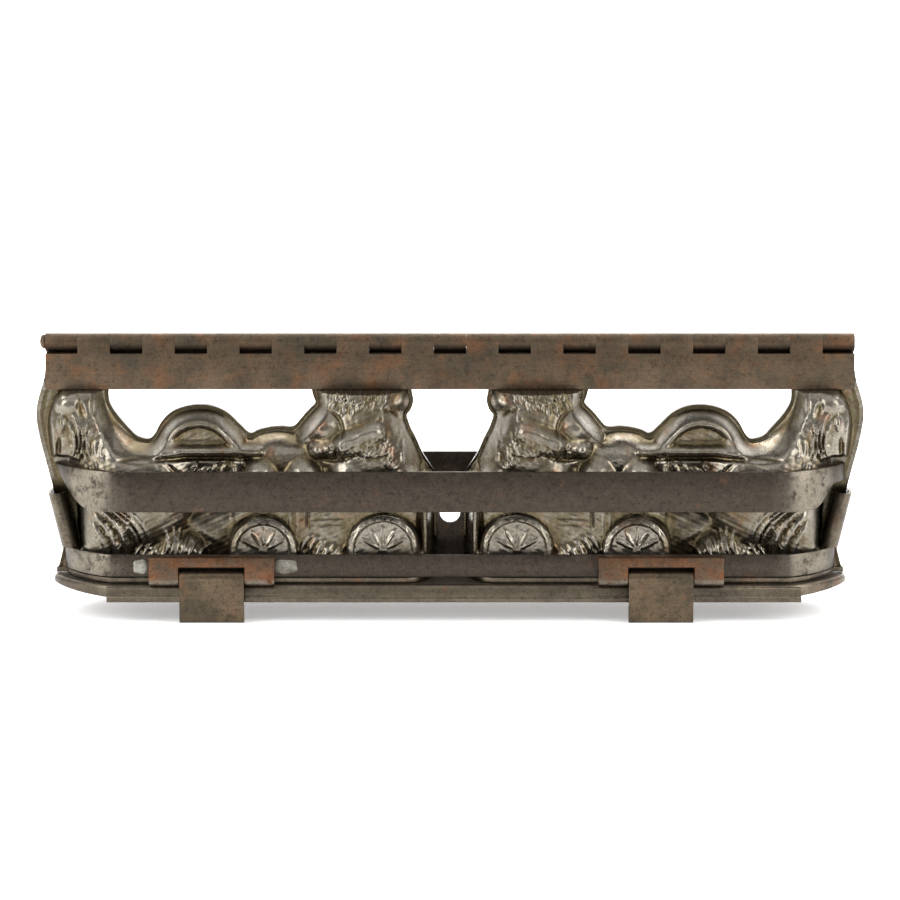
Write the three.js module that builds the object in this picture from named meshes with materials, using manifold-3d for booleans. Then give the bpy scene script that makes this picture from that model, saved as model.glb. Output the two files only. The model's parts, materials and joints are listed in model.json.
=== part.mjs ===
// Hinged double chocolate mould in tinned steel.
// Two figures side by side, each a cockerel pulling a cart of eggs driven by a rabbit.
// X runs along the hinge, -Y is the front, Z is up, millimetres.
// The builders below work from the hinge axis, and the last lines stand the mould on its lowest point.
import * as THREE from 'three';
import { mergeVertices } from 'three/addons/utils/BufferGeometryUtils.js';
import Module from 'manifold-3d';

const wasm = await Module();
wasm.setup();

// Sheet and clearances
const shellSheet = 1.0;
const steepWallSheet = 0.5;
const partingGap = 0.3;
const seatGap = 0.3;
const cutOverrun = 1.0;

// Hinge along the top
const hingeLength = 260;
const knuckleCount = 25;
const leafSheet = 1.3;
const leafDrop = 15.2;
const leafShoulder = 0.4;
const knuckleGap = 0.3;
const pinDiameter = 3.0;
const pinPlay = 0.2;
const pinHeadDiameter = 4.8;
const pinHeadReach = 1.6;
const pinHeadSteps = 3;

// Pressed shells
const shellDrop = 75.1;
const shellLipHeight = 1.6;
const shellLipStep = 0.3;
const shellLipSetback = 0.4;
const shellLipRound = 10;
const flangeMargin = 1.2;
const flangeRamp = 4.6;
const neckRamp = 8.5;
const cartMargin = 0.7;
const cartRamp = 2.6;
const outerRamp = 5.0;
const leafRamp = 4.0;
const crestSteps = [1.5, 3.2];

// Bars across each face
const barSheet = 1.2;
const barEndInset = 1.3;
const barGap = 13.8;
const middleBarStandOut = 0.5;
const middleBarHeight = 13.1;
const middleBarCorner = 20;
const middleBarTaper = 14.5;
const middleBarEndHeights = [1.8, 3.2];
const taperSteps = 5;
const taperCurve = 1.4;
const bottomBarDepth = 20.0;
const bottomBarRise = 1.9;
const bottomBarHeight = 7.2;
const bottomBarCorner = 16.5;
const bendSquareness = 1.3;

// Web between the two figures
const webHeight = 22.1;
const webSlotWidth = 6.6;
const webSlotDepth = 6.1;

// Base plate
const plateSheet = 1.0;
const plateOverhang = 0.4;
const plateStandOut = 2.8;
const plateCorner = 21;
const plateRimDrop = 2.8;
const plateLipInsets = [18.4, 16.0];
const plateLipDrop = 4.8;
const plateLipSheet = 0.8;
const plateBeadDiameter = 1.4;
const plateBeadSetback = 0.2;

// Latch tabs on the front bottom bar, with their spring latches
const tabWidth = 39.9;
const tabCentreShares = [-0.5846, 0.5177];
const tabSheet = 0.9;
const tabCornerCut = 0.5;
const tabBackLeg = 4.0;
const latchWidth = 20.6;
const latchBarrelDiameter = 4.8;
const latchPinBelowBarTop = 7.0;
const latchPinPlay = 0.2;
const latchSideGap = 0.3;
const latchNotchRise = 3.9;
const latchHookDrop = 14.3;
const latchHookReturn = 5.4;
const latchHookGap = 1.3;

// Side lugs on the front half
const lugHeight = 17.6;
const lugAboveBar = 0.4;
const lugSheet = 1.0;
const lugRollDiameter = 10.2;
const lugRearReach = 1.8;
const lugRollTurn = 0.55;

// Round stretches
const barrelSides = 16;
const boreSides = 10;
const bendSteps = 7;
const rollSteps = 8;
const beadSides = 8;

// Sizes that follow from the ones above
const halfLength = hingeLength / 2;
const matingFace = partingGap / 2;
const shellFace = matingFace + shellSheet;
const leafBack = shellFace + seatGap;
const barrelRadius = leafBack + leafSheet;
const pinRadius = pinDiameter / 2;
const boreRadius = pinRadius + pinPlay;
const leafTop = barrelRadius + leafShoulder;
const knuckleLength = hingeLength / knuckleCount;
const barFoot = shellFace + seatGap;
const reliefDepth = bottomBarDepth - barSheet - seatGap;
const bottomBarTop = shellDrop - bottomBarRise - bottomBarHeight;
const middleBarTop = bottomBarTop - barGap - middleBarHeight;
const middleBarDepth = bottomBarDepth + middleBarStandOut;
const webTop = shellDrop - webHeight;
const webSlotDrop = webTop + webSlotDepth;
const lugTop = bottomBarTop - lugAboveBar - lugHeight;
const plateTop = shellDrop + seatGap;
const plateDepth = bottomBarDepth + plateStandOut;
const plateLipFront = plateDepth + plateLipSheet + plateBeadSetback;
const latchBarrelRadius = latchBarrelDiameter / 2;
const latchBoreRadius = latchBarrelRadius - tabSheet;
const latchPinRadius = latchBoreRadius - latchPinPlay;
const latchPinDrop = bottomBarTop + latchPinBelowBarTop;
const latchPinDepth = bottomBarDepth + seatGap + latchBarrelRadius;
const latchLowest = latchPinDrop + latchHookDrop;
const hingeHeight = latchLowest;

// The sheet's edge, as shares of half the hinge length and of the shells' drop.
// Side tables go down from the top, and the top table runs inwards from the outer edge.
const outerEdgeShares = [
  [0.044, 0.996], [0.15, 1.003], [0.21, 1.0145], [0.262, 1.0235], [0.314, 1.026],
  [0.362, 1.023], [0.433, 1.015], [0.502, 1.005], [0.577, 0.995], [0.625, 0.988],
  [0.878, 0.966], [0.916, 0.967], [0.973, 0.976], [1, 0.982],
];
const innerEdgeShares = [
  [0.044, 0.096], [0.209, 0.0946], [0.253, 0.0908], [0.318, 0.108],
  [0.413, 0.0854], [0.485, 0.067], [0.559, 0.04], [0.742, 0.0346], [1, 0.0346],
];
const topEdgeShares = [
  [0.996, 0.044], [0.98, 0.044], [0.96, 0.044], [0.94, 0.044], [0.92, 0.044],
  [0.9, 0.044], [0.882, 0.044], [0.866, 0.044], [0.849, 0.044],
  [0.8455, 0.21], [0.8435, 0.245], [0.838, 0.276], [0.825, 0.314], [0.808, 0.349],
  [0.792, 0.38], [0.775, 0.406], [0.753, 0.418], [0.737, 0.41], [0.727, 0.386],
  [0.717, 0.353], [0.704, 0.322], [0.691, 0.303], [0.671, 0.286], [0.65, 0.2755],
  [0.63, 0.271], [0.61, 0.27], [0.59, 0.276], [0.57, 0.2865], [0.552, 0.305],
  [0.536, 0.33], [0.519, 0.358], [0.502, 0.386], [0.488, 0.393], [0.472, 0.378],
  [0.455, 0.37], [0.438, 0.364], [0.42, 0.363], [0.402, 0.366], [0.385, 0.357],
  [0.371, 0.335], [0.359, 0.31], [0.335, 0.044],
  [0.317, 0.044], [0.297, 0.044], [0.275, 0.044], [0.252, 0.044], [0.228, 0.044],
  [0.204, 0.044], [0.18, 0.044], [0.156, 0.044], [0.135, 0.044], [0.117, 0.044],
  [0.104, 0.044], [0.096, 0.044],
];
// Where the relief meets its flat flange on the outer side.
const outerReliefShares = [
  [0.19, 0.985], [0.32, 1], [0.515, 0.983], [0.6, 0.914], [0.88, 0.905], [1, 0.92],
];

// The cart's end wall lies below this share of the drop and within this share of the reach.
const cartEndShare = [0.3, 0.559];
// The slope below the cockerel's neck: middle and half width, as shares of the reach.
const neckSlopeShare = [0.81, 0.1];

// Rows of the shell's mesh below the middle bar, as shares of the drop,
// then rows shared out between there and the foot of the flat flange along the top.
const lowRowShares = [
  0.945, 0.91, 0.876, 0.842, 0.808, 0.774, 0.74, 0.705, 0.672, 0.638, 0.605, 0.573,
];
const highRowShares = [0.2, 0.4, 0.6, 0.8, 1];

// Swells of the relief: place, radii and height, then how square the swell is,
// as shares of half the hinge length, of the drop and of the relief's depth.
const swellShares = {
  cockerelBody: [0.777, 0.626, 0.154, 0.32, 0.81, 2.2],
  cockerelBack: [0.8, 0.533, 0.115, 0.2, 0.54, 2],
  cockerelNeck: [0.904, 0.413, 0.096, 0.253, 0.49, 2.2],
  cockerelCheek: [0.943, 0.257, 0.04, 0.056, 0.44, 2],
  cockerelTail: [0.835, 0.799, 0.066, 0.24, 0.7, 2.6],
  tailDisc: [0.619, 0.499, 0.131, 0.24, 0.335, 3],
  saddle: [0.646, 0.486, 0.208, 0.093, 0.43, 3],
  cartHump: [0.435, 0.486, 0.081, 0.127, 0.4, 2.2],
  cartBox: [0.292, 0.832, 0.262, 0.32, 0.68, 5],
  cartPost: [0.056, 0.879, 0.022, 0.4, 0.69, 3],
  rabbitBody: [0.196, 0.506, 0.131, 0.306, 0.84, 2.3],
  rabbitNeck: [0.215, 0.253, 0.119, 0.16, 0.49, 2.6],
  rabbitEar: [0.115, 0.252, 0.026, 0.048, 0.46, 2],
  rabbitShoulder: [0.311, 0.357, 0.043, 0.075, 0.59, 2],
  outerEgg: [0.477, 0.554, 0.045, 0.079, 0.79, 2],
  secondEgg: [0.392, 0.551, 0.038, 0.069, 0.8, 2],
  thirdEgg: [0.33, 0.551, 0.034, 0.067, 0.81, 2],
  innerEgg: [0.255, 0.55, 0.05, 0.084, 0.84, 2],
  outerBush: [0.669, 0.905, 0.073, 0.112, 0.69, 2.4],
  tailLeaves: [0.746, 0.932, 0.062, 0.087, 0.65, 2.2],
  wheelLeaves: [0.296, 0.932, 0.062, 0.107, 0.76, 2.2],
};
const swellBlend = 6;

// Straight swells between two places, with half width and height.
const limbShares = {
  pole: [0.83, 0.455, 0.468, 0.457, 0.018, 0.52],
  forearm: [0.326, 0.443, 0.262, 0.413, 0.03, 0.71],
  upperArm: [0.262, 0.413, 0.185, 0.36, 0.034, 0.83],
  footBrace: [0.696, 0.74, 0.581, 0.826, 0.026, 0.44],
};

// Ribs of the relief that bend round a centre: the arched tail and the two wheels.
// Place, radius and half width of the rib, height at its crown, height of the disc inside.
const ringShares = {
  tailArch: [0.619, 0.495, 0.102, 0.023, 0.48, 0.345],
  outerWheel: [0.46, 0.871, 0.077, 0.014, 0.865, 0.78],
  innerWheel: [0.165, 0.868, 0.083, 0.014, 0.865, 0.78],
};

// Lengths that follow the sheet's edge
const middleBarReach = outerEdgeAt(middleBarTop + middleBarHeight / 2) - barEndInset;
const bottomBarReach = outerEdgeAt(bottomBarTop + bottomBarHeight / 2) - barEndInset;
const plateReach = outerEdgeAt(shellDrop) + plateOverhang;
const [plateLipLeft, plateLipRight] = plateLipInsets.map((inset) => plateReach - inset);
const tabCentres = tabCentreShares.map((share) => share * halfLength);

// Materials
const tinned = { color: '#a59c90', roughness: 0.42, metalness: 0.85 };
const tarnished = { color: '#736558', roughness: 0.55, metalness: 0.75 };
const brownSteel = { color: '#73624f', roughness: 0.6, metalness: 0.65 };

function finish({ color, roughness, metalness }) {
  return new THREE.MeshStandardMaterial({ color, roughness, metalness });
}

// Geometry helpers

function merged(geometry) {
  geometry.deleteAttribute('normal');
  geometry.deleteAttribute('uv');
  return mergeVertices(geometry);
}

function toSolid(geometry) {
  const clean = merged(geometry);
  return new wasm.Manifold(new wasm.Mesh({
    numProp: 3,
    vertProperties: new Float32Array(clean.attributes.position.array),
    triVerts: new Uint32Array(clean.index.array),
  }));
}

function toGeometry(solid) {
  const { numProp, vertProperties, triVerts } = solid.getMesh();
  const positions = [];
  for (let i = 0; i < vertProperties.length; i += numProp) {
    positions.push(...vertProperties.slice(i, i + 3));
  }
  const geometry = new THREE.BufferGeometry();
  geometry.setAttribute('position', new THREE.Float32BufferAttribute(positions, 3));
  geometry.setIndex([...triVerts]);
  return geometry;
}

function joined(geometries) {
  return geometries.map(toSolid).reduce((whole, next) => whole.add(next));
}

function shapeOf(points, holes = []) {
  const shape = new THREE.Shape(points.map(([x, y]) => new THREE.Vector2(x, y)));
  for (const hole of holes) {
    shape.holes.push(new THREE.Path(hole.map(([x, y]) => new THREE.Vector2(x, y))));
  }
  return shape;
}

function extruded(shape, depth) {
  return new THREE.ExtrudeGeometry(shape, { depth, bevelEnabled: false });
}

function circlePoints(radius, sides, [x, y] = [0, 0], start = 0) {
  const points = [];
  for (let i = 0; i < sides; i += 1) {
    const angle = start + (2 * Math.PI * i) / sides;
    points.push([x + radius * Math.cos(angle), y + radius * Math.sin(angle)]);
  }
  return points;
}

const axisX = new THREE.Vector3(1, 0, 0);
const axisY = new THREE.Vector3(0, 1, 0);
const axisZ = new THREE.Vector3(0, 0, 1);

// A section drawn in (Y, Z), run along X from fromX to toX.
function alongX(shape, fromX, toX) {
  const turn = new THREE.Matrix4().makeBasis(axisY, axisZ, axisX);
  return extruded(shape, toX - fromX).applyMatrix4(turn).translate(fromX, 0, 0);
}

// An outline drawn in (X, Z), run along Y from fromY to toY.
function alongY(shape, fromY, toY) {
  const turn = new THREE.Matrix4().makeBasis(axisX, axisZ, axisY.clone().negate());
  return extruded(shape, toY - fromY).applyMatrix4(turn).translate(0, toY, 0);
}

// A plan drawn in (X, Y), run along Z from fromZ to toZ.
function alongZ(shape, fromZ, toZ) {
  return extruded(shape, toZ - fromZ).translate(0, 0, fromZ);
}

function block(from, to) {
  const size = to.map((value, k) => value - from[k]);
  const centre = to.map((value, k) => (value + from[k]) / 2);
  return new THREE.BoxGeometry(...size).translate(...centre);
}

// The same piece on the other side of the parting plane or of the middle.
function mirrored(geometry, alongAxis) {
  const scale = new THREE.Vector3(1, 1, 1);
  scale[alongAxis] = -1;
  const copy = merged(geometry.clone()).scale(scale.x, scale.y, scale.z);
  const corners = [...copy.index.array];
  for (let i = 0; i < corners.length; i += 3) {
    [corners[i + 1], corners[i + 2]] = [corners[i + 2], corners[i + 1]];
  }
  copy.setIndex(corners);
  return copy;
}

function clamp01(value) {
  return Math.min(Math.max(value, 0), 1);
}

function eased(value) {
  const t = clamp01(value);
  return t * t * (3 - 2 * t);
}

// A table's value by straight lines between its rows.
function lookUp(table, at) {
  const k = Math.max(table.findIndex(([key]) => key >= at), 1);
  const [from, low] = table[k - 1];
  const [to, high] = table[k];
  return low + (high - low) * clamp01((at - from) / (to - from));
}

function outerEdgeAt(drop) {
  return lookUp(outerEdgeShares, drop / shellDrop) * halfLength;
}

// Hinge

function knuckleSection() {
  const rise = Math.sqrt(barrelRadius ** 2 - leafBack ** 2);
  const start = Math.atan2(-rise, -leafBack);
  const sweep = Math.PI - start;
  const points = [[-barrelRadius, -leafTop - leafSheet], [-leafBack, -leafTop - leafSheet]];
  for (let i = 0; i <= barrelSides; i += 1) {
    const angle = start + (sweep * i) / barrelSides;
    points.push([barrelRadius * Math.cos(angle), barrelRadius * Math.sin(angle)]);
  }
  return shapeOf(points, [circlePoints(boreRadius, boreSides)]);
}

// The front leaf, with every second knuckle from the first one given, counted from the left.
function leafSolid(firstKnuckle) {
  const section = knuckleSection();
  const pieces = [block([-halfLength, -barrelRadius, -leafDrop], [halfLength, -leafBack, -leafTop])];
  for (let k = firstKnuckle; k < knuckleCount; k += 2) {
    const start = -halfLength + k * knuckleLength;
    const inset = knuckleGap / 2;
    const from = k === 0 ? start : start + inset;
    const to = k === knuckleCount - 1 ? halfLength : start + knuckleLength - inset;
    pieces.push(alongX(section, from, to));
  }
  return toGeometry(joined(pieces));
}

function hingePin() {
  const headRadius = pinHeadDiameter / 2;
  const profile = [new THREE.Vector2(0, 0), new THREE.Vector2(pinRadius, 0)];
  profile.push(new THREE.Vector2(pinRadius, hingeLength + seatGap));
  const head = new THREE.Vector2(headRadius, pinHeadReach);
  for (let i = 0; i <= pinHeadSteps; i += 1) {
    const angle = (Math.PI / 2) * (i / pinHeadSteps);
    const rise = hingeLength + seatGap + head.y * Math.sin(angle);
    profile.push(new THREE.Vector2(head.x * Math.cos(angle), rise));
  }
  profile[profile.length - 1].x = 0;
  const turned = new THREE.LatheGeometry(profile, boreSides);
  return turned.rotateZ(Math.PI / 2).translate(halfLength, 0, 0);
}

// Pressed shells, drawn as distance from the middle, drop from the hinge and depth

function edgePoint(across, drop) {
  const inner = lookUp(innerEdgeShares, drop);
  const outer = lookUp(outerEdgeShares, drop);
  return inner + (outer - inner) * across;
}

function acrossOf([reach, drop]) {
  const inner = lookUp(innerEdgeShares, drop);
  const outer = lookUp(outerEdgeShares, drop);
  return (reach - inner) / (outer - inner);
}

function edgeDistance(reach, drop) {
  const edge = [...outerEdgeShares.slice(0, -1).map(([z, x]) => [x, z]).reverse(),
    ...topEdgeShares, ...innerEdgeShares.map(([z, x]) => [x, z])];
  let nearest = Infinity;
  for (let k = 1; k < edge.length; k += 1) {
    const from = new THREE.Vector3(edge[k - 1][0] * halfLength, edge[k - 1][1] * shellDrop, 0);
    const to = new THREE.Vector3(edge[k][0] * halfLength, edge[k][1] * shellDrop, 0);
    const point = new THREE.Vector3(reach, drop, 0);
    const foot = new THREE.Line3(from, to).closestPointToPoint(point, true, new THREE.Vector3());
    nearest = Math.min(nearest, foot.distanceTo(point));
  }
  return nearest;
}

function swellHeight([x, z, radiusX, radiusZ, height, square], reachShare, dropShare) {
  const across = Math.abs((reachShare - x) / radiusX) ** square;
  const down = Math.abs((dropShare - z) / radiusZ) ** square;
  return height * reliefDepth * Math.sqrt(Math.max(1 - across - down, 0));
}

function limbHeight([x0, z0, x1, z1, half, height], reach, drop) {
  const from = new THREE.Vector3(x0 * halfLength, z0 * shellDrop, 0);
  const to = new THREE.Vector3(x1 * halfLength, z1 * shellDrop, 0);
  const point = new THREE.Vector3(reach, drop, 0);
  const foot = new THREE.Line3(from, to).closestPointToPoint(point, true, new THREE.Vector3());
  const offset = foot.distanceTo(point) / (half * halfLength);
  return height * reliefDepth * Math.sqrt(Math.max(1 - offset ** 2, 0));
}

function ringHeight([x, z, radius, half, crown, disc], reach, drop) {
  const out = Math.hypot(reach - x * halfLength, drop - z * shellDrop);
  const offset = (out - radius * halfLength) / (half * halfLength);
  const rib = Math.abs(offset) < 1 ? crown * reliefDepth * Math.sqrt(1 - offset ** 2) : 0;
  return out < radius * halfLength ? Math.max(rib, disc * reliefDepth) : rib;
}

// How much of a bend's depth is left at a share of the way along it.
function bendDepth(along) {
  return Math.max(1 - along ** bendSquareness, 0) ** (1 / bendSquareness);
}

// The bars' bent ends leave this much depth behind them, and above the middle bar it is all free.
function depthInsideBars(reach, drop) {
  const bendInside = bottomBarCorner - barSheet - seatGap;
  const along = clamp01((reach - bottomBarReach + bottomBarCorner) / bendInside);
  const most = reliefDepth - shellFace - seatGap;
  const behindBend = most * bendDepth(along);
  const above = eased((middleBarTop - flangeMargin - drop) / outerRamp);
  return behindBend + (most - behindBend) * above;
}

// The flat margin and the slope beside the sheet's edge: steep along the cart's end,
// and gentle between the cockerel's neck and the gap.
function edgeFade(reachShare, dropShare) {
  const [cartEnd, cartTop] = cartEndShare;
  if (dropShare > cartTop && reachShare < cartEnd) {
    return [cartMargin, cartRamp];
  }
  const [neckCentre, neckHalf] = neckSlopeShare;
  const neck = eased(1 - Math.abs(reachShare - neckCentre) / neckHalf);
  return [flangeMargin, flangeRamp + (neckRamp - flangeRamp) * neck];
}

function reliefAt(reach, drop) {
  const reachShare = reach / halfLength;
  const dropShare = drop / shellDrop;
  let total = 0;
  for (const swell of Object.values(swellShares)) {
    total += swellHeight(swell, reachShare, dropShare) ** swellBlend;
  }
  for (const limb of Object.values(limbShares)) {
    total += limbHeight(limb, reach, drop) ** swellBlend;
  }
  let height = total ** (1 / swellBlend);
  for (const ring of Object.values(ringShares)) {
    height = Math.max(height, ringHeight(ring, reach, drop));
  }
  const outerEdge = lookUp(outerReliefShares, dropShare) * halfLength;
  const [margin, ramp] = edgeFade(reachShare, dropShare);
  const fade = Math.min(
    eased((edgeDistance(reach, drop) - margin) / ramp),
    eased((outerEdge - reach) / outerRamp),
    eased((drop - leafDrop - seatGap) / leafRamp),
  );
  return Math.min(height * fade, depthInsideBars(reach, drop));
}

function lipDepth(reach, plainDepth) {
  const straightEnd = bottomBarReach - bottomBarCorner;
  const bend = bendDepth(clamp01((reach - straightEnd) / bottomBarCorner));
  const innerEnd = clamp01((reach - innerEdgeShares.at(-1)[1] * halfLength) / shellLipRound);
  const rounded = Math.sqrt(1 - (1 - innerEnd) ** 2);
  const depth = (bottomBarDepth - shellLipSetback) * bend * rounded;
  return Math.max(depth, plainDepth);
}

// One row of the shell's mesh: its drop at a column, and whether it is the turned-out lip.
function shellRows(topDrop) {
  const lipTop = 1 - shellLipHeight / shellDrop;
  const lipStep = shellLipStep / shellDrop;
  const rows = [{ drop: 1, lip: true }, { drop: lipTop, lip: true }, { drop: lipTop - lipStep, lip: false }];
  lowRowShares.forEach((drop) => rows.push({ drop, lip: false }));
  const lastLow = lowRowShares.at(-1);
  const crest = Math.max(topDrop + flangeMargin / shellDrop, (leafDrop + seatGap) / shellDrop);
  const [nearCrest, belowCrest] = crestSteps.map((step) => crest + step / shellDrop);
  const highRows = highRowShares.map((share) => lastLow + (belowCrest - lastLow) * share);
  [...highRows, nearCrest, crest].forEach((drop) => rows.push({ drop, lip: false }));
  rows.push({ drop: topDrop, lip: false });
  return rows;
}

function shellVertices() {
  const outside = [];
  const inside = [];
  for (const corner of topEdgeShares) {
    const across = acrossOf(corner);
    const column = shellRows(corner[1]).map(({ drop, lip }) => {
      const reach = edgePoint(across, drop) * halfLength;
      const relief = reliefAt(reach, drop * shellDrop);
      const outer = lip ? lipDepth(reach, shellFace + relief) : shellFace + relief;
      const inner = matingFace + Math.max(relief - steepWallSheet, 0);
      return { reach, drop: drop * shellDrop, outer, inner };
    });
    column.forEach((at) => outside.push([-at.reach, -at.outer, -at.drop]));
    column.forEach((at) => inside.push([-at.reach, -at.inner, -at.drop]));
  }
  return { outside, inside };
}

// The pressed shell of the front left figure: one closed sheet, open at the back and below.
function shellGeometry() {
  const { outside, inside } = shellVertices();
  const rows = outside.length / topEdgeShares.length;
  const columns = topEdgeShares.length;
  const corners = [];
  const quad = (a, b, c, d) => corners.push(a, b, c, a, c, d);
  const back = outside.length;
  for (let i = 0; i < columns - 1; i += 1) {
    for (let j = 0; j < rows - 1; j += 1) {
      const at = i * rows + j;
      quad(at, at + rows, at + rows + 1, at + 1);
      quad(back + at, back + at + 1, back + at + rows + 1, back + at + rows);
    }
    const low = i * rows;
    const high = low + rows - 1;
    quad(low, back + low, back + low + rows, low + rows);
    quad(high, high + rows, back + high + rows, back + high);
  }
  const last = (columns - 1) * rows;
  for (let j = 0; j < rows - 1; j += 1) {
    quad(j, j + 1, back + j + 1, back + j);
    quad(last + j, back + last + j, back + last + j + 1, last + j + 1);
  }
  const geometry = new THREE.BufferGeometry();
  const positions = [...outside, ...inside].flat();
  geometry.setAttribute('position', new THREE.Float32BufferAttribute(positions, 3));
  geometry.setIndex(corners);
  return geometry;
}

// Bars

function bendPoints(reach, corner, depth) {
  const points = [];
  for (let i = 0; i <= bendSteps; i += 1) {
    const angle = (Math.PI / 2) * (i / bendSteps);
    const along = Math.sin(angle) ** (2 / bendSquareness);
    points.push([reach - corner + corner * along, -barFoot - (depth - barFoot) * bendDepth(along)]);
  }
  return points;
}

function barStrip(reach, corner, depth, top, height) {
  const outer = bendPoints(reach, corner, depth);
  const inner = bendPoints(reach - barSheet, corner - barSheet, depth - barSheet);
  const flip = ([x, y]) => [-x, y];
  const outline = [...outer.map(flip).reverse(), ...outer, ...[...inner].reverse(), ...inner.map(flip)];
  return alongZ(shapeOf(outline), -top - height, -top);
}

function middleBar() {
  const strip = barStrip(middleBarReach, middleBarCorner, middleBarDepth, middleBarTop, middleBarHeight);
  const [leftEnd, rightEnd] = middleBarEndHeights;
  const beyond = middleBarReach + cutOverrun;
  const taper = (endHeight) => {
    const points = [];
    for (let i = 0; i <= taperSteps; i += 1) {
      const share = i / taperSteps;
      const height = middleBarHeight - (middleBarHeight - endHeight) * share ** taperCurve;
      points.push([middleBarReach - middleBarTaper * (1 - share), -middleBarTop - height]);
    }
    return [...points, [beyond, -middleBarTop - endHeight], [beyond, -middleBarTop + cutOverrun]];
  };
  const face = [...taper(leftEnd).map(([x, z]) => [-x, z]).reverse(), ...taper(rightEnd)];
  const front = alongY(shapeOf(face), -middleBarDepth - cutOverrun, 0);
  return toGeometry(toSolid(strip).intersect(toSolid(front)));
}

function bottomBar() {
  return barStrip(bottomBarReach, bottomBarCorner, bottomBarDepth, bottomBarTop, bottomBarHeight);
}

// Web between the figures, with a round-ended slot from above

function centreWeb() {
  const side = innerEdgeShares.at(-1)[1] * halfLength - seatGap;
  const slot = webSlotWidth / 2;
  const slotCentre = -webSlotDrop + slot;
  const points = [[-side, -shellDrop], [side, -shellDrop], [side, -webTop], [slot, -webTop]];
  for (let i = 0; i <= rollSteps; i += 1) {
    const angle = -Math.PI * (i / rollSteps);
    points.push([slot * Math.cos(angle), slotCentre + slot * Math.sin(angle)]);
  }
  points.push([-slot, -webTop], [-side, -webTop]);
  return alongY(shapeOf(points), -shellFace, -matingFace);
}

// Base plate, a shallow upturned tray with deeper beaded lips along both long sides

function platePlan(setback) {
  const quarter = [];
  for (let i = 0; i <= bendSteps; i += 1) {
    const angle = (Math.PI / 2) * (i / bendSteps);
    const along = Math.sin(angle) ** (2 / bendSquareness);
    const reach = plateReach - plateCorner + (plateCorner - setback) * along;
    quarter.push([reach, (plateDepth - setback) * bendDepth(along)]);
  }
  const right = [...quarter, ...[...quarter].reverse().slice(1).map(([x, y]) => [x, -y])];
  return [...right, ...[...right].reverse().map(([x, y]) => [-x, y])];
}

function plateLip() {
  const radius = plateBeadDiameter / 2;
  const front = -plateLipFront + plateBeadSetback;
  const back = front + plateLipSheet + plateBeadSetback;
  const lowest = -plateTop - plateLipDrop;
  const sheet = block([-plateLipLeft, front, lowest + radius], [plateLipRight, back, -plateTop]);
  const beadCentre = [-plateLipFront + radius, lowest + radius];
  const bead = circlePoints(radius, beadSides, beadCentre, Math.PI / beadSides);
  return [sheet, alongX(shapeOf(bead), -plateLipLeft, plateLipRight)];
}

function basePlate() {
  const tray = toSolid(alongZ(shapeOf(platePlan(0)), -plateTop - plateRimDrop, -plateTop));
  const hollow = toSolid(alongZ(
    shapeOf(platePlan(plateSheet)),
    -plateTop - plateRimDrop - cutOverrun,
    -plateTop - plateSheet,
  ));
  const frontLip = plateLip();
  const rearLip = frontLip.map((piece) => mirrored(piece, 'y'));
  return toGeometry(joined([...frontLip, ...rearLip]).add(tray.subtract(hollow)));
}

// Latch tabs: a strip folded over the bar's face and rolled round the latch pin

function barrelArc(from, to) {
  const points = [];
  for (let i = 0; i <= barrelSides; i += 1) {
    const angle = from + ((to - from) * i) / barrelSides;
    points.push([
      -latchPinDepth + latchBarrelRadius * Math.cos(angle),
      -latchPinDrop + latchBarrelRadius * Math.sin(angle),
    ]);
  }
  return points;
}

function tabSection() {
  const face = -latchPinDepth - latchBarrelRadius;
  const back = -bottomBarDepth - seatGap;
  const top = -bottomBarTop;
  const arcTop = Math.acos(-latchBoreRadius / latchBarrelRadius);
  const points = [
    [face, top - tabCornerCut], ...barrelArc(-Math.PI, arcTop),
    [face + tabSheet, top - tabSheet], [back - tabSheet, top - tabSheet],
    [back - tabSheet, top - tabBackLeg], [back, top - tabBackLeg],
    [back, top - tabCornerCut], [back - tabCornerCut, top], [face + tabCornerCut, top],
  ];
  const bore = circlePoints(latchBoreRadius, boreSides, [-latchPinDepth, -latchPinDrop]);
  return shapeOf(points, [bore]);
}

function latchTab(centre) {
  const plain = toSolid(alongX(tabSection(), centre - tabWidth / 2, centre + tabWidth / 2));
  const half = latchWidth / 2 + latchSideGap;
  const notchTop = -latchPinDrop + latchNotchRise;
  const face = -latchPinDepth - latchBarrelRadius;
  const lowest = -latchPinDrop - latchBarrelRadius;
  const notch = block(
    [centre - half, face - cutOverrun, lowest - cutOverrun],
    [centre + half, -bottomBarDepth, notchTop],
  );
  return toGeometry(plain.subtract(toSolid(notch)));
}

function latchPin(centre) {
  const section = circlePoints(latchPinRadius, boreSides, [-latchPinDepth, -latchPinDrop]);
  return alongX(shapeOf(section), centre - tabWidth / 2, centre + tabWidth / 2);
}

// Spring latch: a barrel on the pin, a strip down past the lip, and a hook turned up under it

function latchSection() {
  const face = -latchPinDepth - latchBarrelRadius;
  const outerTurn = (2 * tabSheet + latchHookGap) / 2;
  const turnCentre = [face + outerTurn, -latchLowest + outerTurn];
  const innerTurn = outerTurn - tabSheet;
  const turn = (radius) => {
    const points = [];
    for (let i = 0; i <= rollSteps; i += 1) {
      const angle = Math.PI + Math.PI * (i / rollSteps);
      points.push([turnCentre[0] + radius * Math.cos(angle), turnCentre[1] + radius * Math.sin(angle)]);
    }
    return points;
  };
  const returnTop = -latchLowest + latchHookReturn;
  const hookBack = face + 2 * outerTurn;
  const arcTop = Math.acos(-latchBoreRadius / latchBarrelRadius);
  const points = [
    ...turn(outerTurn), [hookBack, returnTop], [hookBack - tabSheet, returnTop],
    ...turn(innerTurn).reverse(),
    ...barrelArc(-arcTop, Math.PI),
  ];
  const bore = circlePoints(latchBoreRadius, boreSides, [-latchPinDepth, -latchPinDrop]);
  return shapeOf(points, [bore]);
}

function springLatch(centre) {
  return alongX(latchSection(), centre - latchWidth / 2, centre + latchWidth / 2);
}

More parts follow.
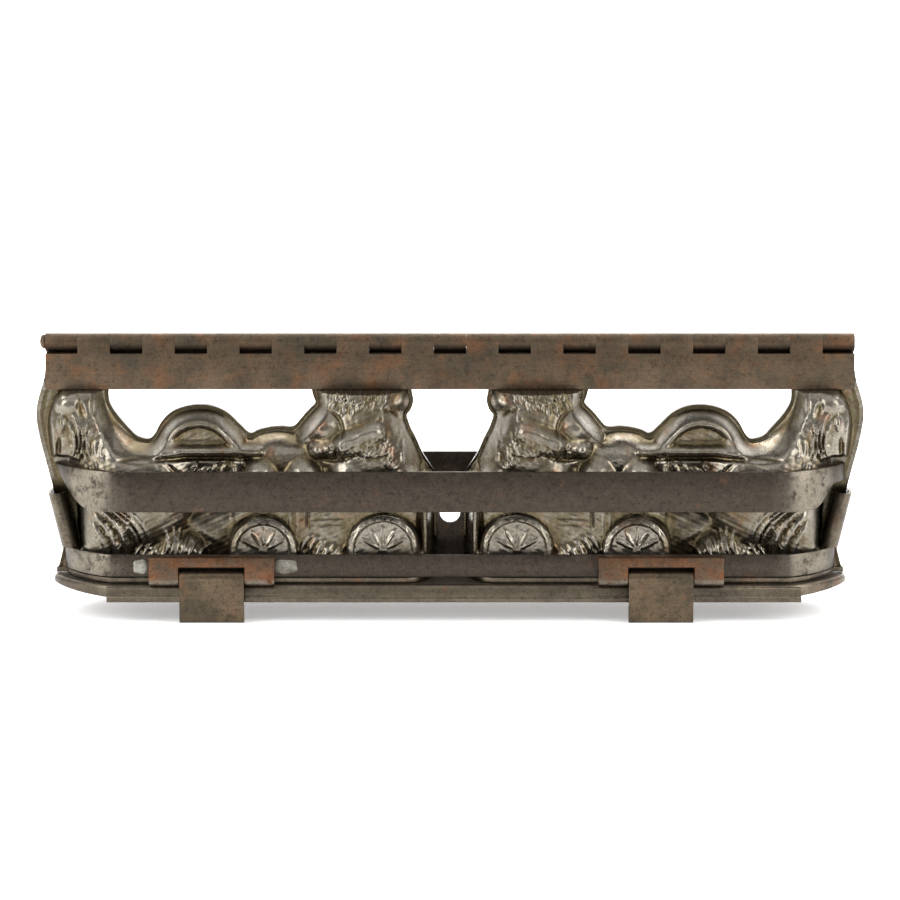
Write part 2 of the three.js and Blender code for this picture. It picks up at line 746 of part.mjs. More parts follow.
// Side lugs: sheet rolled over the front and reaching back past both flanges' edges

function sideLug() {
  const edgeTop = outerEdgeAt(lugTop);
  const edgeLow = outerEdgeAt(lugTop + lugHeight);
  const outerRadius = lugRollDiameter / 2;
  const inside = edgeTop + seatGap;
  const centre = [-inside - lugSheet + outerRadius, -lugRollDiameter / 2];
  const roll = (radius) => {
    const points = [];
    for (let i = 0; i <= rollSteps; i += 1) {
      const angle = Math.PI + Math.PI * (lugRollTurn + 1 / 2) * (i / rollSteps);
      points.push([centre[0] + radius * Math.cos(angle), centre[1] + radius * Math.sin(angle)]);
    }
    return points;
  };
  const plan = [
    [-inside - lugSheet, lugRearReach], ...roll(outerRadius),
    ...roll(outerRadius - lugSheet).reverse(), [-inside, lugRearReach],
  ];
  const lean = (edgeTop - edgeLow) / lugHeight;
  const upright = alongZ(shapeOf(plan), -lugHeight, 0);
  const follow = new THREE.Matrix4().set(1, 0, -lean, 0, 0, 1, 0, 0, 0, 0, 1, 0, 0, 0, 0, 1);
  return upright.applyMatrix4(follow).translate(0, 0, -lugTop);
}

// Assembly

const mould = new THREE.Group();

function place(name, geometry, look) {
  const mesh = new THREE.Mesh(geometry, finish(look));
  mesh.name = name;
  mould.add(mesh);
}

const shell = shellGeometry();
place('front_shell_left', shell, tinned);
place('front_shell_right', mirrored(shell, 'x'), tinned);
place('rear_shell_left', mirrored(shell, 'y'), tinned);
place('rear_shell_right', mirrored(mirrored(shell, 'x'), 'y'), tinned);

place('front_hinge_leaf', leafSolid(1), brownSteel);
place('rear_hinge_leaf', mirrored(leafSolid(0), 'y'), brownSteel);
place('hinge_pin', hingePin(), brownSteel);

const faces = { front: (geometry) => geometry, rear: (geometry) => mirrored(geometry, 'y') };
for (const [side, turned] of Object.entries(faces)) {
  place(`${side}_middle_bar`, turned(middleBar()), tarnished);
  place(`${side}_bottom_bar`, turned(bottomBar()), tarnished);
  place(`${side}_centre_web`, turned(centreWeb()), tarnished);
}

place('base_plate', basePlate(), tarnished);

['left', 'right'].forEach((side, k) => {
  const lug = sideLug();
  place(`side_lug_${side}`, k === 0 ? lug : mirrored(lug, 'x'), tarnished);
  place(`latch_tab_${side}`, latchTab(tabCentres[k]), brownSteel);
  place(`latch_pin_${side}`, latchPin(tabCentres[k]), brownSteel);
  place(`latch_${side}`, springLatch(tabCentres[k]), brownSteel);
});

// The origin is the middle of the box that holds the mould, on its lowest point.
const frontReach = latchPinDepth + latchBarrelRadius;
const headReach = halfLength + seatGap + pinHeadReach;
const flangeReach = Math.max(...outerEdgeShares.map(([, reach]) => reach)) * halfLength;
const middleX = (Math.max(headReach, flangeReach) - flangeReach) / 2;
mould.position.set(middleX, (frontReach - plateLipFront) / 2, hingeHeight);

export default mould;
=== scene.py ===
"""Hinged double chocolate mould in tinned steel.

Two pressed figures side by side, each a cockerel drawing a cart of eggs that a rabbit drives.
Lengths in the tables are millimetres. A shell is drawn by reach, the distance from the middle,
and drop, the distance down from the hinge pin. Rise is how far the sheet is pressed out.
"""

import json
import math

import bmesh
import bpy
import numpy as np
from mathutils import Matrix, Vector
from mathutils.geometry import delaunay_2d_cdt, tessellate_polygon


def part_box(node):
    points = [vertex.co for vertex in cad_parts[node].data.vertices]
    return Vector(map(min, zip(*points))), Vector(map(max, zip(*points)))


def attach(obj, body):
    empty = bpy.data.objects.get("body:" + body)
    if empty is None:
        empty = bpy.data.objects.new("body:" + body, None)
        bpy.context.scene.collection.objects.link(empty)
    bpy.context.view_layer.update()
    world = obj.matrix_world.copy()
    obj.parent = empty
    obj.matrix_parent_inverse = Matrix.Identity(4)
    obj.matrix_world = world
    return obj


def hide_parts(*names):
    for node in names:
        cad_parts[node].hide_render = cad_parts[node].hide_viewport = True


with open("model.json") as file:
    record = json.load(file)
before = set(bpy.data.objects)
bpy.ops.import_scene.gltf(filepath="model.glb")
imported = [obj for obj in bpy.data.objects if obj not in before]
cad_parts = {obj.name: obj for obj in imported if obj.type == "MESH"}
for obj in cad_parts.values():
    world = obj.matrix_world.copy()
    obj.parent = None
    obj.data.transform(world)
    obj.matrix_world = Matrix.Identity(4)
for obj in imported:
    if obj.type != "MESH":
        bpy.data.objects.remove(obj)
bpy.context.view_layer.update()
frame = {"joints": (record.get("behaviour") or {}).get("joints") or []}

bl_info = {
    "name": "Hinged chocolate mould",
    "version": (1, 0, 0),
    "blender": (4, 5, 0),
    "location": "View3D > Sidebar > Mould",
    "description": "Builds a hinged chocolate mould and its plain studio",
    "category": "Add Mesh",
}

MM = 0.001
PLACES = {joint["name"]: joint["pos_m"] for joint in frame["joints"]}
HINGE = Vector(PLACES["front_half_hinge"]) / MM

# How far in front of the hinge pin these nodes' front faces stand in the CAD.
FRONT_FACE = {
    name: HINGE.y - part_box(name)[0].y / MM
    for name in ("front_middle_bar", "front_bottom_bar", "front_hinge_leaf", "base_plate")
}


def drops(name):
    """How far below the hinge pin a node's top and its bottom are."""
    low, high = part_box(name)
    return HINGE.z - high.z / MM, HINGE.z - low.z / MM


def reach_of(name):
    """How far a node reaches from the middle to the right."""
    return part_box(name)[1].x / MM


# Bends of the bars and the base plate in plan: their length, and how square they are.
MIDDLE_BEND, BOTTOM_BEND, PLATE_BEND = 20.0, 16.5, 21.0
BEND = 1.4
BAR_SHEET = 1.2

# Half the gap between the closed halves, and how far from the middle plane the hinge leaves and
# the bars' ends are seated on the flange.
HALF_GAP, SEAT = 0.15, 1.45

# The outer face of a shell's flat sheet from the middle plane, the room that its forms leave
# behind the bars, and how far strokes still stand out or sink there.
SHEET_FACE, BAR_CLEARANCE, STROKE_ROOM = 1.15, 0.6, 0.6

# The foot of the wall at the figures' outer side: drops, and their reaches.
OUTER_WALL = (
    (14.3, 24.0, 38.7, 45.1, 66.1, 75.1), (129.3, 131.2, 129.0, 121.0, 120.0, 120.4)
)

# The sheet's edge: reach and drop, from the outer edge's foot round to the inner edge's foot.
OUTER_EDGE = (
    (127.6, 75.1), (126.8, 73.1), (125.8, 69.2), (125.5, 66.3), (127.0, 56.0), (128.4, 47.0),
    (129.3, 43.3), (130.7, 37.7), (132.0, 32.5), (133.0, 27.2), (133.3, 23.6), (132.9, 19.7),
    (131.8, 15.8), (130.5, 11.3), (129.5, 3.3),
)
TOP_EDGE = (
    (110.1, 3.3), (109.9, 12.0), (109.9, 15.8), (109.9, 17.7), (109.3, 20.2), (107.2, 23.6),
    (103.0, 28.5), (100.8, 30.5), (97.9, 31.4), (96.3, 31.1), (95.0, 29.5), (93.7, 27.0),
    (91.9, 24.6), (89.8, 22.8), (87.2, 21.5), (84.0, 20.6), (80.1, 20.3), (76.2, 20.8),
    (71.7, 22.9), (67.5, 26.9), (65.2, 29.1), (63.7, 29.5), (61.7, 28.5), (58.1, 27.6),
    (54.6, 27.3), (51.6, 27.5), (50.2, 27.2), (49.1, 26.2), (46.7, 23.3), (44.9, 21.4),
    (43.4, 19.7), (43.9, 17.9), (44.5, 15.7), (44.8, 12.0), (44.8, 3.3),
)
INNER_EDGE = (
    (12.5, 3.3), (12.4, 12.0), (12.3, 15.7), (11.8, 19.0), (12.6, 21.9), (13.9, 23.7),
    (13.4, 25.9), (12.4, 28.5), (11.1, 31.0), (8.7, 36.4), (5.6, 41.3), (4.6, 44.5),
    (4.5, 55.7), (4.5, 75.1),
)

# Main forms of a figure: reach, drop, half width, half height, rise, turn in degrees, squareness.
FORMS = (
    (101.0, 47.0, 20.0, 24.0, 15.0, 0, 2.2),
    (117.5, 31.0, 12.5, 19.0, 9.0, 0, 2.2),
    (109.7, 60.0, 10.4, 18.0, 13.0, 0, 2.8),
    (104.0, 40.0, 15.0, 15.0, 10.0, 0, 2.0),
    (80.5, 37.5, 17.0, 18.0, 6.2, 0, 3.0),
    (84.0, 36.5, 27.0, 7.0, 7.4, 0, 3.0),
    (56.5, 36.5, 10.5, 9.5, 7.5, 0, 2.2),
    (38.0, 62.5, 34.0, 24.0, 12.6, 0, 5.0),
    (25.5, 38.0, 17.0, 23.0, 15.5, 0, 2.3),
    (28.0, 19.0, 15.5, 12.0, 9.0, 0, 2.6),
    (15.0, 18.9, 3.4, 3.6, 8.5, 0, 2.0),
    (40.2, 26.8, 6.4, 6.4, 12.4, 0, 2.0),
    (40.5, 27.5, 10.0, 10.0, 9.6, 0, 3.0),
    (76.0, 63.0, 15.0, 15.0, 7.0, 0, 3.0),
    (96.0, 64.0, 13.0, 12.0, 9.5, 0, 3.0),
    (122.6, 19.3, 5.2, 4.2, 8.0, 20, 2.0),
    (48.0, 38.5, 21.0, 7.0, 10.0, 0, 3.0),
    (61.0, 41.8, 6.9, 6.5, 14.3, 0, 2.0),
    (46.9, 41.6, 7.0, 6.4, 14.6, 0, 2.0),
    (32.7, 41.6, 7.4, 6.9, 15.3, 0, 2.0),
    (87.0, 68.0, 9.5, 8.4, 12.8, 0, 2.4),
    (97.0, 70.0, 8.0, 6.5, 12.0, 0, 2.2),
    (38.5, 70.0, 8.0, 8.0, 14.0, 0, 2.2),
    (7.3, 66.0, 2.9, 30.0, 12.8, 0, 3.0),
)
FORM_BLEND = 6

# Limbs and bars of a figure: two ends by reach and drop, half width and rise.
LIMBS = (
    (42.4, 33.3, 34.0, 31.0, 3.9, 13.2),
    (34.0, 31.0, 24.0, 27.0, 4.4, 15.4),
    (108.0, 34.2, 60.9, 34.3, 2.3, 9.6),
    (90.5, 55.6, 75.5, 62.0, 4.6, 6.2),
)

# Rings: reach, drop, radius, half width, rise of the crown, rise of the disc inside.
RINGS = (
    (80.5, 37.2, 13.3, 3.0, 8.9, 6.4),
    (59.8, 65.4, 10.0, 1.7, 15.7, 14.7),
    (21.45, 65.2, 10.8, 1.7, 15.7, 14.7),
)
WHEELS = RINGS[1:]
SPOKE_TURNS = (28, 59, 90, 121, 152)
SPOKE_ENDS = (1.0, 7.6)
SPOKE_SHAPE = (0.65, 0.9)
HUB_SHAPE = (1.5, 0.6)

# Strokes on the forms, raised or sunk: two ends by reach and drop, bow, half width, rise.
STROKES = (
    # the crease below the cart's pole, and round the arch and the shoulder
    (107.5, 36.8, 62.0, 36.9, 0.3, 1.2, -1.6),
    (93.8, 33.4, 68.9, 34.2, -9.6, 1.0, -1.0),
    (39.6, 20.4, 34.6, 29.6, 2.2, 0.8, -0.9),
    # round the cockerel's cheek and below its wattle
    (118.8, 18.2, 117.0, 23.6, -0.4, 1.7, -1.1),
    (115.1, 16.8, 114.8, 22.4, 0.3, 0.9, 1.1),
    (125.4, 29.8, 126.6, 40.0, 0.2, 1.2, -2.2),
    (124.7, 22.6, 124.9, 28.2, 0.1, 1.9, 2.0),
    # hackles
    (123.0, 24.0, 121.8, 37.6, 2.2, 0.9, 0.8),
    (120.9, 22.0, 120.4, 36.6, 1.9, 0.8, 0.9),
    (119.0, 24.0, 119.4, 37.0, 1.6, 0.8, 0.9),
    (117.6, 25.0, 117.3, 38.0, 0.9, 0.8, 0.8),
    (116.3, 24.6, 115.6, 38.4, -1.9, 0.9, 0.8),
    (114.6, 26.4, 114.6, 37.0, -1.5, 0.7, 0.6),
    (112.9, 30.0, 113.0, 36.4, -0.7, 0.6, 0.5),
    (110.9, 28.4, 110.8, 33.6, -0.3, 0.5, 0.4),
    (121.9, 25.5, 121.2, 37.0, 2.0, 0.5, -0.7),
    (119.9, 24.5, 119.9, 37.0, 1.7, 0.5, -0.7),
    (118.3, 25.5, 118.4, 38.0, 1.2, 0.5, -0.7),
    (115.4, 26.5, 115.2, 38.0, -1.7, 0.5, -0.7),
    # sickle feathers of the tail
    (115.6, 56.5, 110.0, 68.5, 1.3, 0.8, 0.8),
    (115.0, 53.5, 107.0, 68.5, 2.2, 0.9, 0.9),
    (113.5, 51.0, 103.9, 68.5, 3.0, 0.9, 1.0),
    (111.5, 50.5, 99.6, 68.5, 3.6, 0.9, 0.9),
    (109.3, 50.5, 97.8, 68.5, 3.4, 0.8, 0.8),
    (107.0, 50.0, 95.8, 67.0, 3.2, 0.8, 0.5),
    (115.4, 55.0, 108.5, 68.5, 1.8, 0.5, -0.7),
    (114.3, 52.3, 105.4, 68.5, 2.6, 0.5, -0.7),
    (112.5, 50.8, 101.8, 68.5, 3.3, 0.5, -0.7),
    (110.4, 50.5, 98.7, 68.5, 3.5, 0.5, -0.6),
    # leaves at the cart's front
    (92.6, 68.5, 91.2, 59.6, -1.4, 0.9, 1.0),
    (90.4, 68.5, 88.7, 58.8, -0.9, 0.9, 1.2),
    (88.0, 68.5, 86.6, 59.4, 0.3, 0.9, 1.1),
    (85.8, 68.5, 83.6, 60.8, 0.8, 0.9, 1.1),
    (83.4, 69.0, 80.6, 62.6, 1.0, 0.8, 1.0),
    (80.8, 69.4, 77.0, 64.6, 0.9, 0.8, 0.9),
    (101.6, 68.6, 97.6, 63.6, 0.5, 0.8, 0.9),
    (99.2, 69.0, 95.4, 63.4, 0.4, 0.8, 0.9),
    (93.0, 68.0, 99.8, 63.8, -0.4, 0.7, 0.8),
    (96.6, 69.4, 93.6, 64.4, 0.4, 0.8, 0.8),
    # leaves and board edges between the wheels
    (47.8, 68.5, 44.0, 60.6, 1.3, 0.9, 1.0),
    (45.2, 68.5, 41.8, 61.2, 1.1, 0.9, 1.0),
    (42.7, 68.5, 39.6, 62.2, 0.9, 0.9, 0.9),
    (40.2, 68.5, 37.4, 63.4, 0.7, 0.8, 0.9),
    (37.9, 68.8, 35.6, 64.6, 0.6, 0.7, 0.7),
    (51.2, 50.0, 51.2, 60.0, 0.0, 0.5, 0.7),
    (49.0, 50.0, 49.0, 60.5, 0.0, 0.5, 0.6),
    (46.0, 50.0, 46.0, 59.5, 0.0, 0.4, 0.8),
    (45.2, 50.0, 45.2, 59.5, 0.0, 0.4, -0.6),
    (45.0, 55.6, 33.0, 55.2, 0.0, 0.35, -0.3),
    (44.6, 57.6, 34.0, 57.2, 0.0, 0.35, -0.3),
    (35.2, 66.0, 31.2, 57.2, -1.0, 0.6, 0.8),
    (10.0, 52.0, 10.2, 68.0, 0.0, 0.6, -0.8),
    # folds and edges of the rabbit's coat
    (22.6, 19.2, 16.2, 24.6, 0.4, 0.6, -0.8),
    (22.0, 21.6, 18.2, 31.0, 1.2, 2.1, 1.2),
    (42.0, 36.8, 26.0, 32.2, -1.3, 0.8, -1.1),
    (29.0, 34.6, 19.5, 34.0, -1.4, 0.7, -0.7),
)

# Patches of short strokes, as fur, feathers and grass: reach, drop, half width, half height,
# lie in degrees, how many, and each one's length, half width and rise.
FUR = (
    (36.0, 18.6, 7.0, 3.6, 78, 44, 3.4, 0.50, 0.8),
    (25.0, 17.6, 5.6, 2.6, 60, 30, 3.0, 0.45, 0.7),
    (33.0, 33.6, 8.6, 1.5, 84, 52, 3.4, 0.42, 0.9),
    (22.5, 32.0, 5.6, 3.6, 72, 40, 3.2, 0.45, 0.6),
    (17.8, 33.6, 4.0, 5.0, 74, 34, 3.2, 0.50, 0.9),
    (20.6, 24.4, 3.6, 4.0, 62, 22, 2.8, 0.40, 0.4),
    (75.5, 40.6, 8.0, 1.3, 52, 26, 3.4, 0.60, 1.0),
    (116.0, 33.0, 6.0, 7.0, 84, 34, 3.0, 0.40, 0.5),
    (112.0, 21.0, 2.6, 4.0, 88, 12, 3.0, 0.45, 0.5),
    (107.0, 60.0, 7.0, 6.0, 72, 30, 3.4, 0.35, 0.45),
    (83.5, 66.0, 6.0, 3.0, 96, 26, 2.6, 0.35, 0.6),
    (44.0, 66.5, 6.0, 2.4, 62, 18, 2.4, 0.40, 0.6),
)


def linear(code):
    """The linear colour of an sRGB hex value."""
    parts = [int(code[k:k + 2], 16) / 255 for k in (1, 3, 5)]
    return tuple(c / 12.92 if c <= 0.04045 else ((c + 0.055) / 1.055) ** 2.4 for c in parts)


# Settings


def length(name, text, default):
    """A size that a user can change, given in millimetres."""
    return bpy.props.FloatProperty(
        name=name, description=text, default=default * MM, min=0, unit="LENGTH", precision=5
    )


def colour(name, text, code):
    """A colour that a user can change, given as an sRGB hex value."""
    return bpy.props.FloatVectorProperty(
        name=name, description=text, default=linear(code), subtype="COLOR", min=0, max=1
    )


class MouldSizes(bpy.types.PropertyGroup):
    sheet: length("Shell sheet", "Thickness of the pressed sheet", 1.0)
    detail: length("Relief spacing", "Distance between the points of the relief", 0.46)
    rim: length("Rim bead", "Half width of the bead along the shells' edge", 1.0)
    strip: length("Bar sheet", "Thickness of the bars", BAR_SHEET)
    knuckles: bpy.props.IntProperty(
        name="Knuckles", description="Knuckles along the hinge, both leaves together", default=25
    )
    knuckle_gap: length("Knuckle gap", "Gap between neighbouring knuckles", 0.03)


class MouldColours(bpy.types.PropertyGroup):
    tin: colour("Tin", "Tin on the shells' high places", "#837d72")
    film: colour("Film", "Brown film in the shells' low places", "#6a5f48")
    rust: colour("Rust", "Rust where the tin has gone", "#7f5438")
    bar: colour("Bars", "Dull tin of the bars", "#3d3630")
    bar_film: colour("Bar film", "Lighter film on the bars", "#514940")
    plate: colour("Base plate", "Grey-green tin of the base plate and lugs", "#696052")
    leaf: colour("Hinge", "Brown film on the hinge", "#5d4e3f")
    leaf_film: colour("Hinge film", "Greyer film on the hinge", "#4f483c")
    tab: colour("Tabs", "Rusty tin of the latch tabs", "#66432e")
    # painted highlight: paler tin painted where light catches the bars' bends and the tabs' rolls
    latch: colour("Latches", "Spring strip polished by handling", "#645645")
    worn: colour("Highlight", "Bare tin on rubbed bends", "#7f776a")
    solder: colour("Solder", "Pale grey solder", "#96948a")
    floor: colour("Floor", "Pale floor", "#f7f7f7")


class MouldStage(bpy.types.PropertyGroup):
    distance: length("Camera distance", "Distance from the camera to the mould", 1300)
    width: length("Width in view", "Width that the picture takes in at the mould", 290.7)
    aim: length("Aim", "Height that the camera looks at", 51.9)
    elevation: bpy.props.FloatProperty(
        name="Camera elevation", description="How far the camera looks down",
        default=math.radians(9.5), subtype="ANGLE",
    )
    side_light: bpy.props.FloatProperty(
        name="Side lights", description="Power of each side light", default=5.4, unit="POWER"
    )
    top_light: bpy.props.FloatProperty(
        name="Top light", description="Power of the light overhead", default=3.6, unit="POWER"
    )
    back_light: bpy.props.FloatProperty(
        name="Backdrop light", description="Power of the light on the backdrop", default=40,
        unit="POWER",
    )
    world: bpy.props.FloatProperty(
        name="Room", description="Brightness of the room", default=0.54, min=0
    )


# Materials


def add(tree, kind, settings=None, inputs=None):
    """Adds a node. A setting is an attribute, an input a value or another node's output."""
    made = tree.nodes.new(kind)
    for key, value in (settings or {}).items():
        setattr(made, key, value)
    for key, value in (inputs or {}).items():
        if isinstance(value, bpy.types.NodeSocket):
            tree.links.new(value, made.inputs[key])
        else:
            made.inputs[key].default_value = value
    return made


def rgba(value):
    """A colour with its alpha, as sockets want it."""
    return (*value[:3], 1.0)


def ramp(tree, factor, *stops):
    """Greys along a colour ramp, each by its place."""
    made = add(tree, "ShaderNodeValToRGB", inputs={"Fac": factor})
    elements = made.color_ramp.elements
    while len(elements) < len(stops):
        elements.new(1.0)
    for element, (place, value) in zip(elements, stops):
        element.position = place
        element.color = (value, value, value, 1.0)
    return made.outputs["Color"]


def mixed(tree, factor, low, high, blend="MIX"):
    """Two colours mixed. The node's colour sockets are its seventh, its eighth and the third."""
    return add(
        tree, "ShaderNodeMix", {"data_type": "RGBA", "blend_type": blend},
        {0: factor, 6: low, 7: high},
    ).outputs[2]


def pattern(tree, size_mm, detail, seed, stretch=(1, 1, 1), roughness=0.55):
    """Noise whose blotches are about size_mm across, on Object coordinates."""
    place = add(tree, "ShaderNodeTexCoord").outputs["Object"]
    scale = [1 / (size_mm * MM * s) for s in stretch]
    moved = add(
        tree, "ShaderNodeMapping",
        inputs={"Vector": place, "Scale": scale, "Location": (seed, seed * 2, -seed)},
    )
    return add(
        tree, "ShaderNodeTexNoise",
        inputs={
            "Vector": moved.outputs["Vector"], "Scale": 1.0, "Detail": detail,
            "Roughness": roughness,
        },
    ).outputs["Fac"]


def bumped(tree, height, strength, depth_mm, normal=None):
    """A bump, on top of another one where its normal is given."""
    inputs = {"Height": height, "Strength": strength, "Distance": depth_mm * MM}
    if normal is not None:
        inputs["Normal"] = normal
    return add(tree, "ShaderNodeBump", inputs=inputs).outputs["Normal"]


def layer(tree, name):
    """One of the layers that a piece's own mesh carries, nought where it has none."""
    return add(tree, "ShaderNodeAttribute", {"attribute_name": name}).outputs["Fac"]


def sum_of(tree, first, second, operation="ADD"):
    """The sum of two values, or what another operation makes of them."""
    return add(tree, "ShaderNodeMath", {"operation": operation}, {0: first, 1: second}).outputs[0]


def old_tin(name, base, film, film_stops, rust_stops, rough, seed, rust_most):
    """Tin plate that has tarnished: film in blotches, rust in spots, fine pits and scratches.

    Three layers of the piece's mesh work on it: one is how low a point lies in the relief, which
    brings film and painted shade to low places and a painted highlight to high ones; one lays a
    painted highlight of paler tin, and one lays painted shade.
    """
    colours = bpy.context.scene.mould_colours
    material = bpy.data.materials.new(name)
    material.use_nodes = True
    tree = material.node_tree
    tree.nodes.clear()
    # film lies in blotches, more of it in the low places
    blotch = pattern(tree, 14, 5, seed)
    mottle = pattern(tree, 3.2, 4, seed + 3, roughness=0.7)
    blend = mixed(tree, 0.45, blotch, mottle)
    low = layer(tree, "film_and_shade")
    lifted = ramp(tree, low, (0.0, 0.5), (0.25, 0.36), (0.45, 0.5), (0.62, 0.66), (1.0, 0.75))
    film_mask = ramp(tree, sum_of(tree, blend, sum_of(tree, lifted, 0.5, "SUBTRACT")),
                     (film_stops[0], 0), (film_stops[1], 1))
    tone = mixed(tree, film_mask, rgba(base), rgba(film))
    # rust stands in spots, and bare tin shows where it is rubbed
    spots = pattern(tree, 7.5, 6, seed + 7, roughness=0.66)
    rust_mask = ramp(tree, spots, (rust_stops[0], 0), (rust_stops[1], rust_most))
    tone = mixed(tree, rust_mask, tone, rgba(colours.rust))
    # rust stands in spots, and a mottled painted highlight of paler tin lies on bends and rolls
    gleam_mottle = ramp(tree, mottle, (0.34, 0), (0.5, 1))
    highlighted = sum_of(tree, gleam_mottle, layer(tree, "worn"), "MULTIPLY")
    tone = mixed(tree, highlighted, tone, rgba(colours.worn))
    # real grain and scratches are finer than these, which are as coarse as they need to show
    grain = pattern(tree, 0.7, 3, seed + 11)
    scratch = pattern(tree, 0.45, 4, seed + 13, stretch=(26, 1, 1), roughness=0.6)
    pits = pattern(tree, 1.5, 5, seed + 17, roughness=0.7)
    for mask, stops in (
        (grain, [(0.32, 0.78), (0.52, 1), (0.75, 1.12)]),
        (scratch, [(0.30, 0.9), (0.52, 1), (0.72, 1.08)]),
        (pits, [(0.53, 1), (0.66, 0.64)]),
        (blotch, [(0.35, 1.1), (0.65, 0.88)]),
        # painted shade, where a piece's mesh lays it
        (layer(tree, "painted_shade"), [(0.0, 1), (1.0, 0.22)]),
        # painted shade in the relief's low places and a painted highlight on its high ones
        (low, [(0.0, 1), (0.12, 1.08), (0.42, 1), (0.62, 0.86), (0.84, 0.72), (1.0, 0.6)]),
    ):
        tone = mixed(tree, 1.0, tone, ramp(tree, mask, *stops), "MULTIPLY")
    rough_map = add(
        tree, "ShaderNodeMapRange",
        inputs={"Value": blend, "From Min": 0.35, "From Max": 0.68,
                "To Min": rough[0], "To Max": rough[1]},
    ).outputs["Result"]
    normal = bumped(tree, scratch, 0.10, 0.05)
    normal = bumped(tree, grain, 0.14, 0.06, normal)
    normal = bumped(tree, mottle, 0.30, 0.12, normal)
    shader = add(
        tree, "ShaderNodeBsdfPrincipled",
        inputs={"Base Color": tone, "Metallic": 0.95, "Roughness": rough_map,
                "Normal": normal},
    )
    add(tree, "ShaderNodeOutputMaterial", inputs={"Surface": shader.outputs["BSDF"]})


# Each finish: the record's slot, its tin and its film, the noise at which film begins and is full,
# the same for rust, how rough it is where bright and where dull, the noise's seed, most rust.
FINISHES = {
    # Tin plate pressed over a die: glossy on the high places, dirt and rust in the low ones, with
    # painted shade in the low places and a painted highlight on the high ones.
    "pressed tin plate": (
        "tinned_shell", "tin", "film", (0.40, 0.62), (0.55, 0.70), (0.20, 0.42), 1.0, 0.55),
    # The same plate, unpressed and dull, dark with handling, with fine scratches along it.
    "dull tin plate": (
        "dark_steel", "bar", "bar_film", (0.35, 0.72), (0.60, 0.78), (0.36, 0.52), 21.0, 0.5),
    # Plate of the base and lugs, greyer and a little green.
    "grey tin plate": (
        "dark_steel", "plate", "bar_film", (0.42, 0.66), (0.58, 0.74), (0.34, 0.5), 31.0, 0.6),
    # Plate under a warm brown film, spotted with rust and darker grey.
    "brown tin plate": (
        "brown_steel", "leaf", "leaf_film", (0.42, 0.64), (0.50, 0.70), (0.40, 0.56), 41.0, 0.5),
    # Plate where the tin has worn through and rusted.
    "rusty tin plate": (
        "brown_steel", "tab", "leaf", (0.42, 0.60), (0.50, 0.70), (0.40, 0.58), 51.0, 0.75),
    # Hard strip, rubbed lighter by fingers.
    "spring strip": (
        "latch_steel", "latch", "leaf_film", (0.44, 0.62), (0.58, 0.76), (0.34, 0.52), 61.0, 0.6),
    # Soft solder, wiped pale and dull.
    "solder": (
        "dark_steel", "solder", "plate", (0.45, 0.72), (0.66, 0.82), (0.42, 0.60), 81.0, 0.4),
}


def materials():
    """The mould's finishes by name, made once."""
    colours = bpy.context.scene.mould_colours
    for name, (_, base, film, *rest) in FINISHES.items():
        if name not in bpy.data.materials:
            old_tin(name, getattr(colours, base), getattr(colours, film), *rest)
    return bpy.data.materials


# Meshes


def placed(points):
    """Points from the hinge pin, in millimetres, as the scene's metres."""
    return [tuple(p) for p in (np.asarray(points, float).reshape(-1, 3) + np.array(HINGE)) * MM]


def linked(name, data):
    """A new object in the scene."""
    made = bpy.data.objects.new(name, data)
    bpy.context.scene.collection.objects.link(made)
    return made


def piece(name, points, faces, finish, body, replaces, sharp):
    """A finished piece from points round the hinge pin."""
    mesh = bpy.data.meshes.new(name)
    mesh.from_pydata(placed(points), [], faces)
    mesh.materials.append(materials()[finish])
    return settled(linked(name, mesh), body, replaces, sharp)


def settled(made, body, replaces, sharp=38):
    """Sets a piece's shading, what it stands for and its body."""
    made.data.polygons.foreach_set("use_smooth", [True] * len(made.data.polygons))
    made.data.set_sharp_from_angle(angle=math.radians(sharp))
    if replaces:
        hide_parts(*replaces)
    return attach(made, body)


def kept(made):
    """Keeps what an object's modifiers make of it as its plain mesh."""
    graph = bpy.context.evaluated_depsgraph_get()
    result = bpy.data.meshes.new_from_object(made.evaluated_get(graph))
    made.modifiers.clear()
    made.data = result


def worked(made, kind, **settings):
    """Works an object with one modifier."""
    modifier = made.modifiers.new(kind.title(), kind)
    for key, value in settings.items():
        setattr(modifier, key, value)
    kept(made)


def rounded(made, width_mm):
    """Rounds an object's sharp edges."""
    worked(made, "BEVEL", width=width_mm * MM, segments=2, limit_method="ANGLE",
           angle_limit=math.radians(32), use_clamp_overlap=True)


def loose(name, points, faces):
    """An object for further work, with its faces turned outwards."""
    mesh = bpy.data.meshes.new(name)
    mesh.from_pydata(placed(points), [], faces)
    work = bmesh.new()
    work.from_mesh(mesh)
    bmesh.ops.remove_doubles(work, verts=work.verts, dist=1e-6)
    bmesh.ops.recalc_face_normals(work, faces=work.faces)
    work.to_mesh(mesh)
    work.free()
    return linked(name, mesh)


def set_layer(made, name, values):
    """Gives a mesh one of the layers that its finish follows."""
    made.data.attributes.new(name, "FLOAT", "POINT").data.foreach_set("value", values)


def layered(made, name, value):
    """Gives a mesh a layer by a rule for its points, in millimetres round the hinge pin."""
    set_layer(made, name, [value(Vector(v.co) / MM - HINGE) for v in made.data.vertices])


def dressed(made, finish, body, replaces=(), edge=0):
    """Finishes a piece, with its edges rounded first where a width is given."""
    if edge:
        rounded(made, edge)
    made.data.materials.clear()
    made.data.materials.append(materials()[finish])
    settled(made, body, replaces)


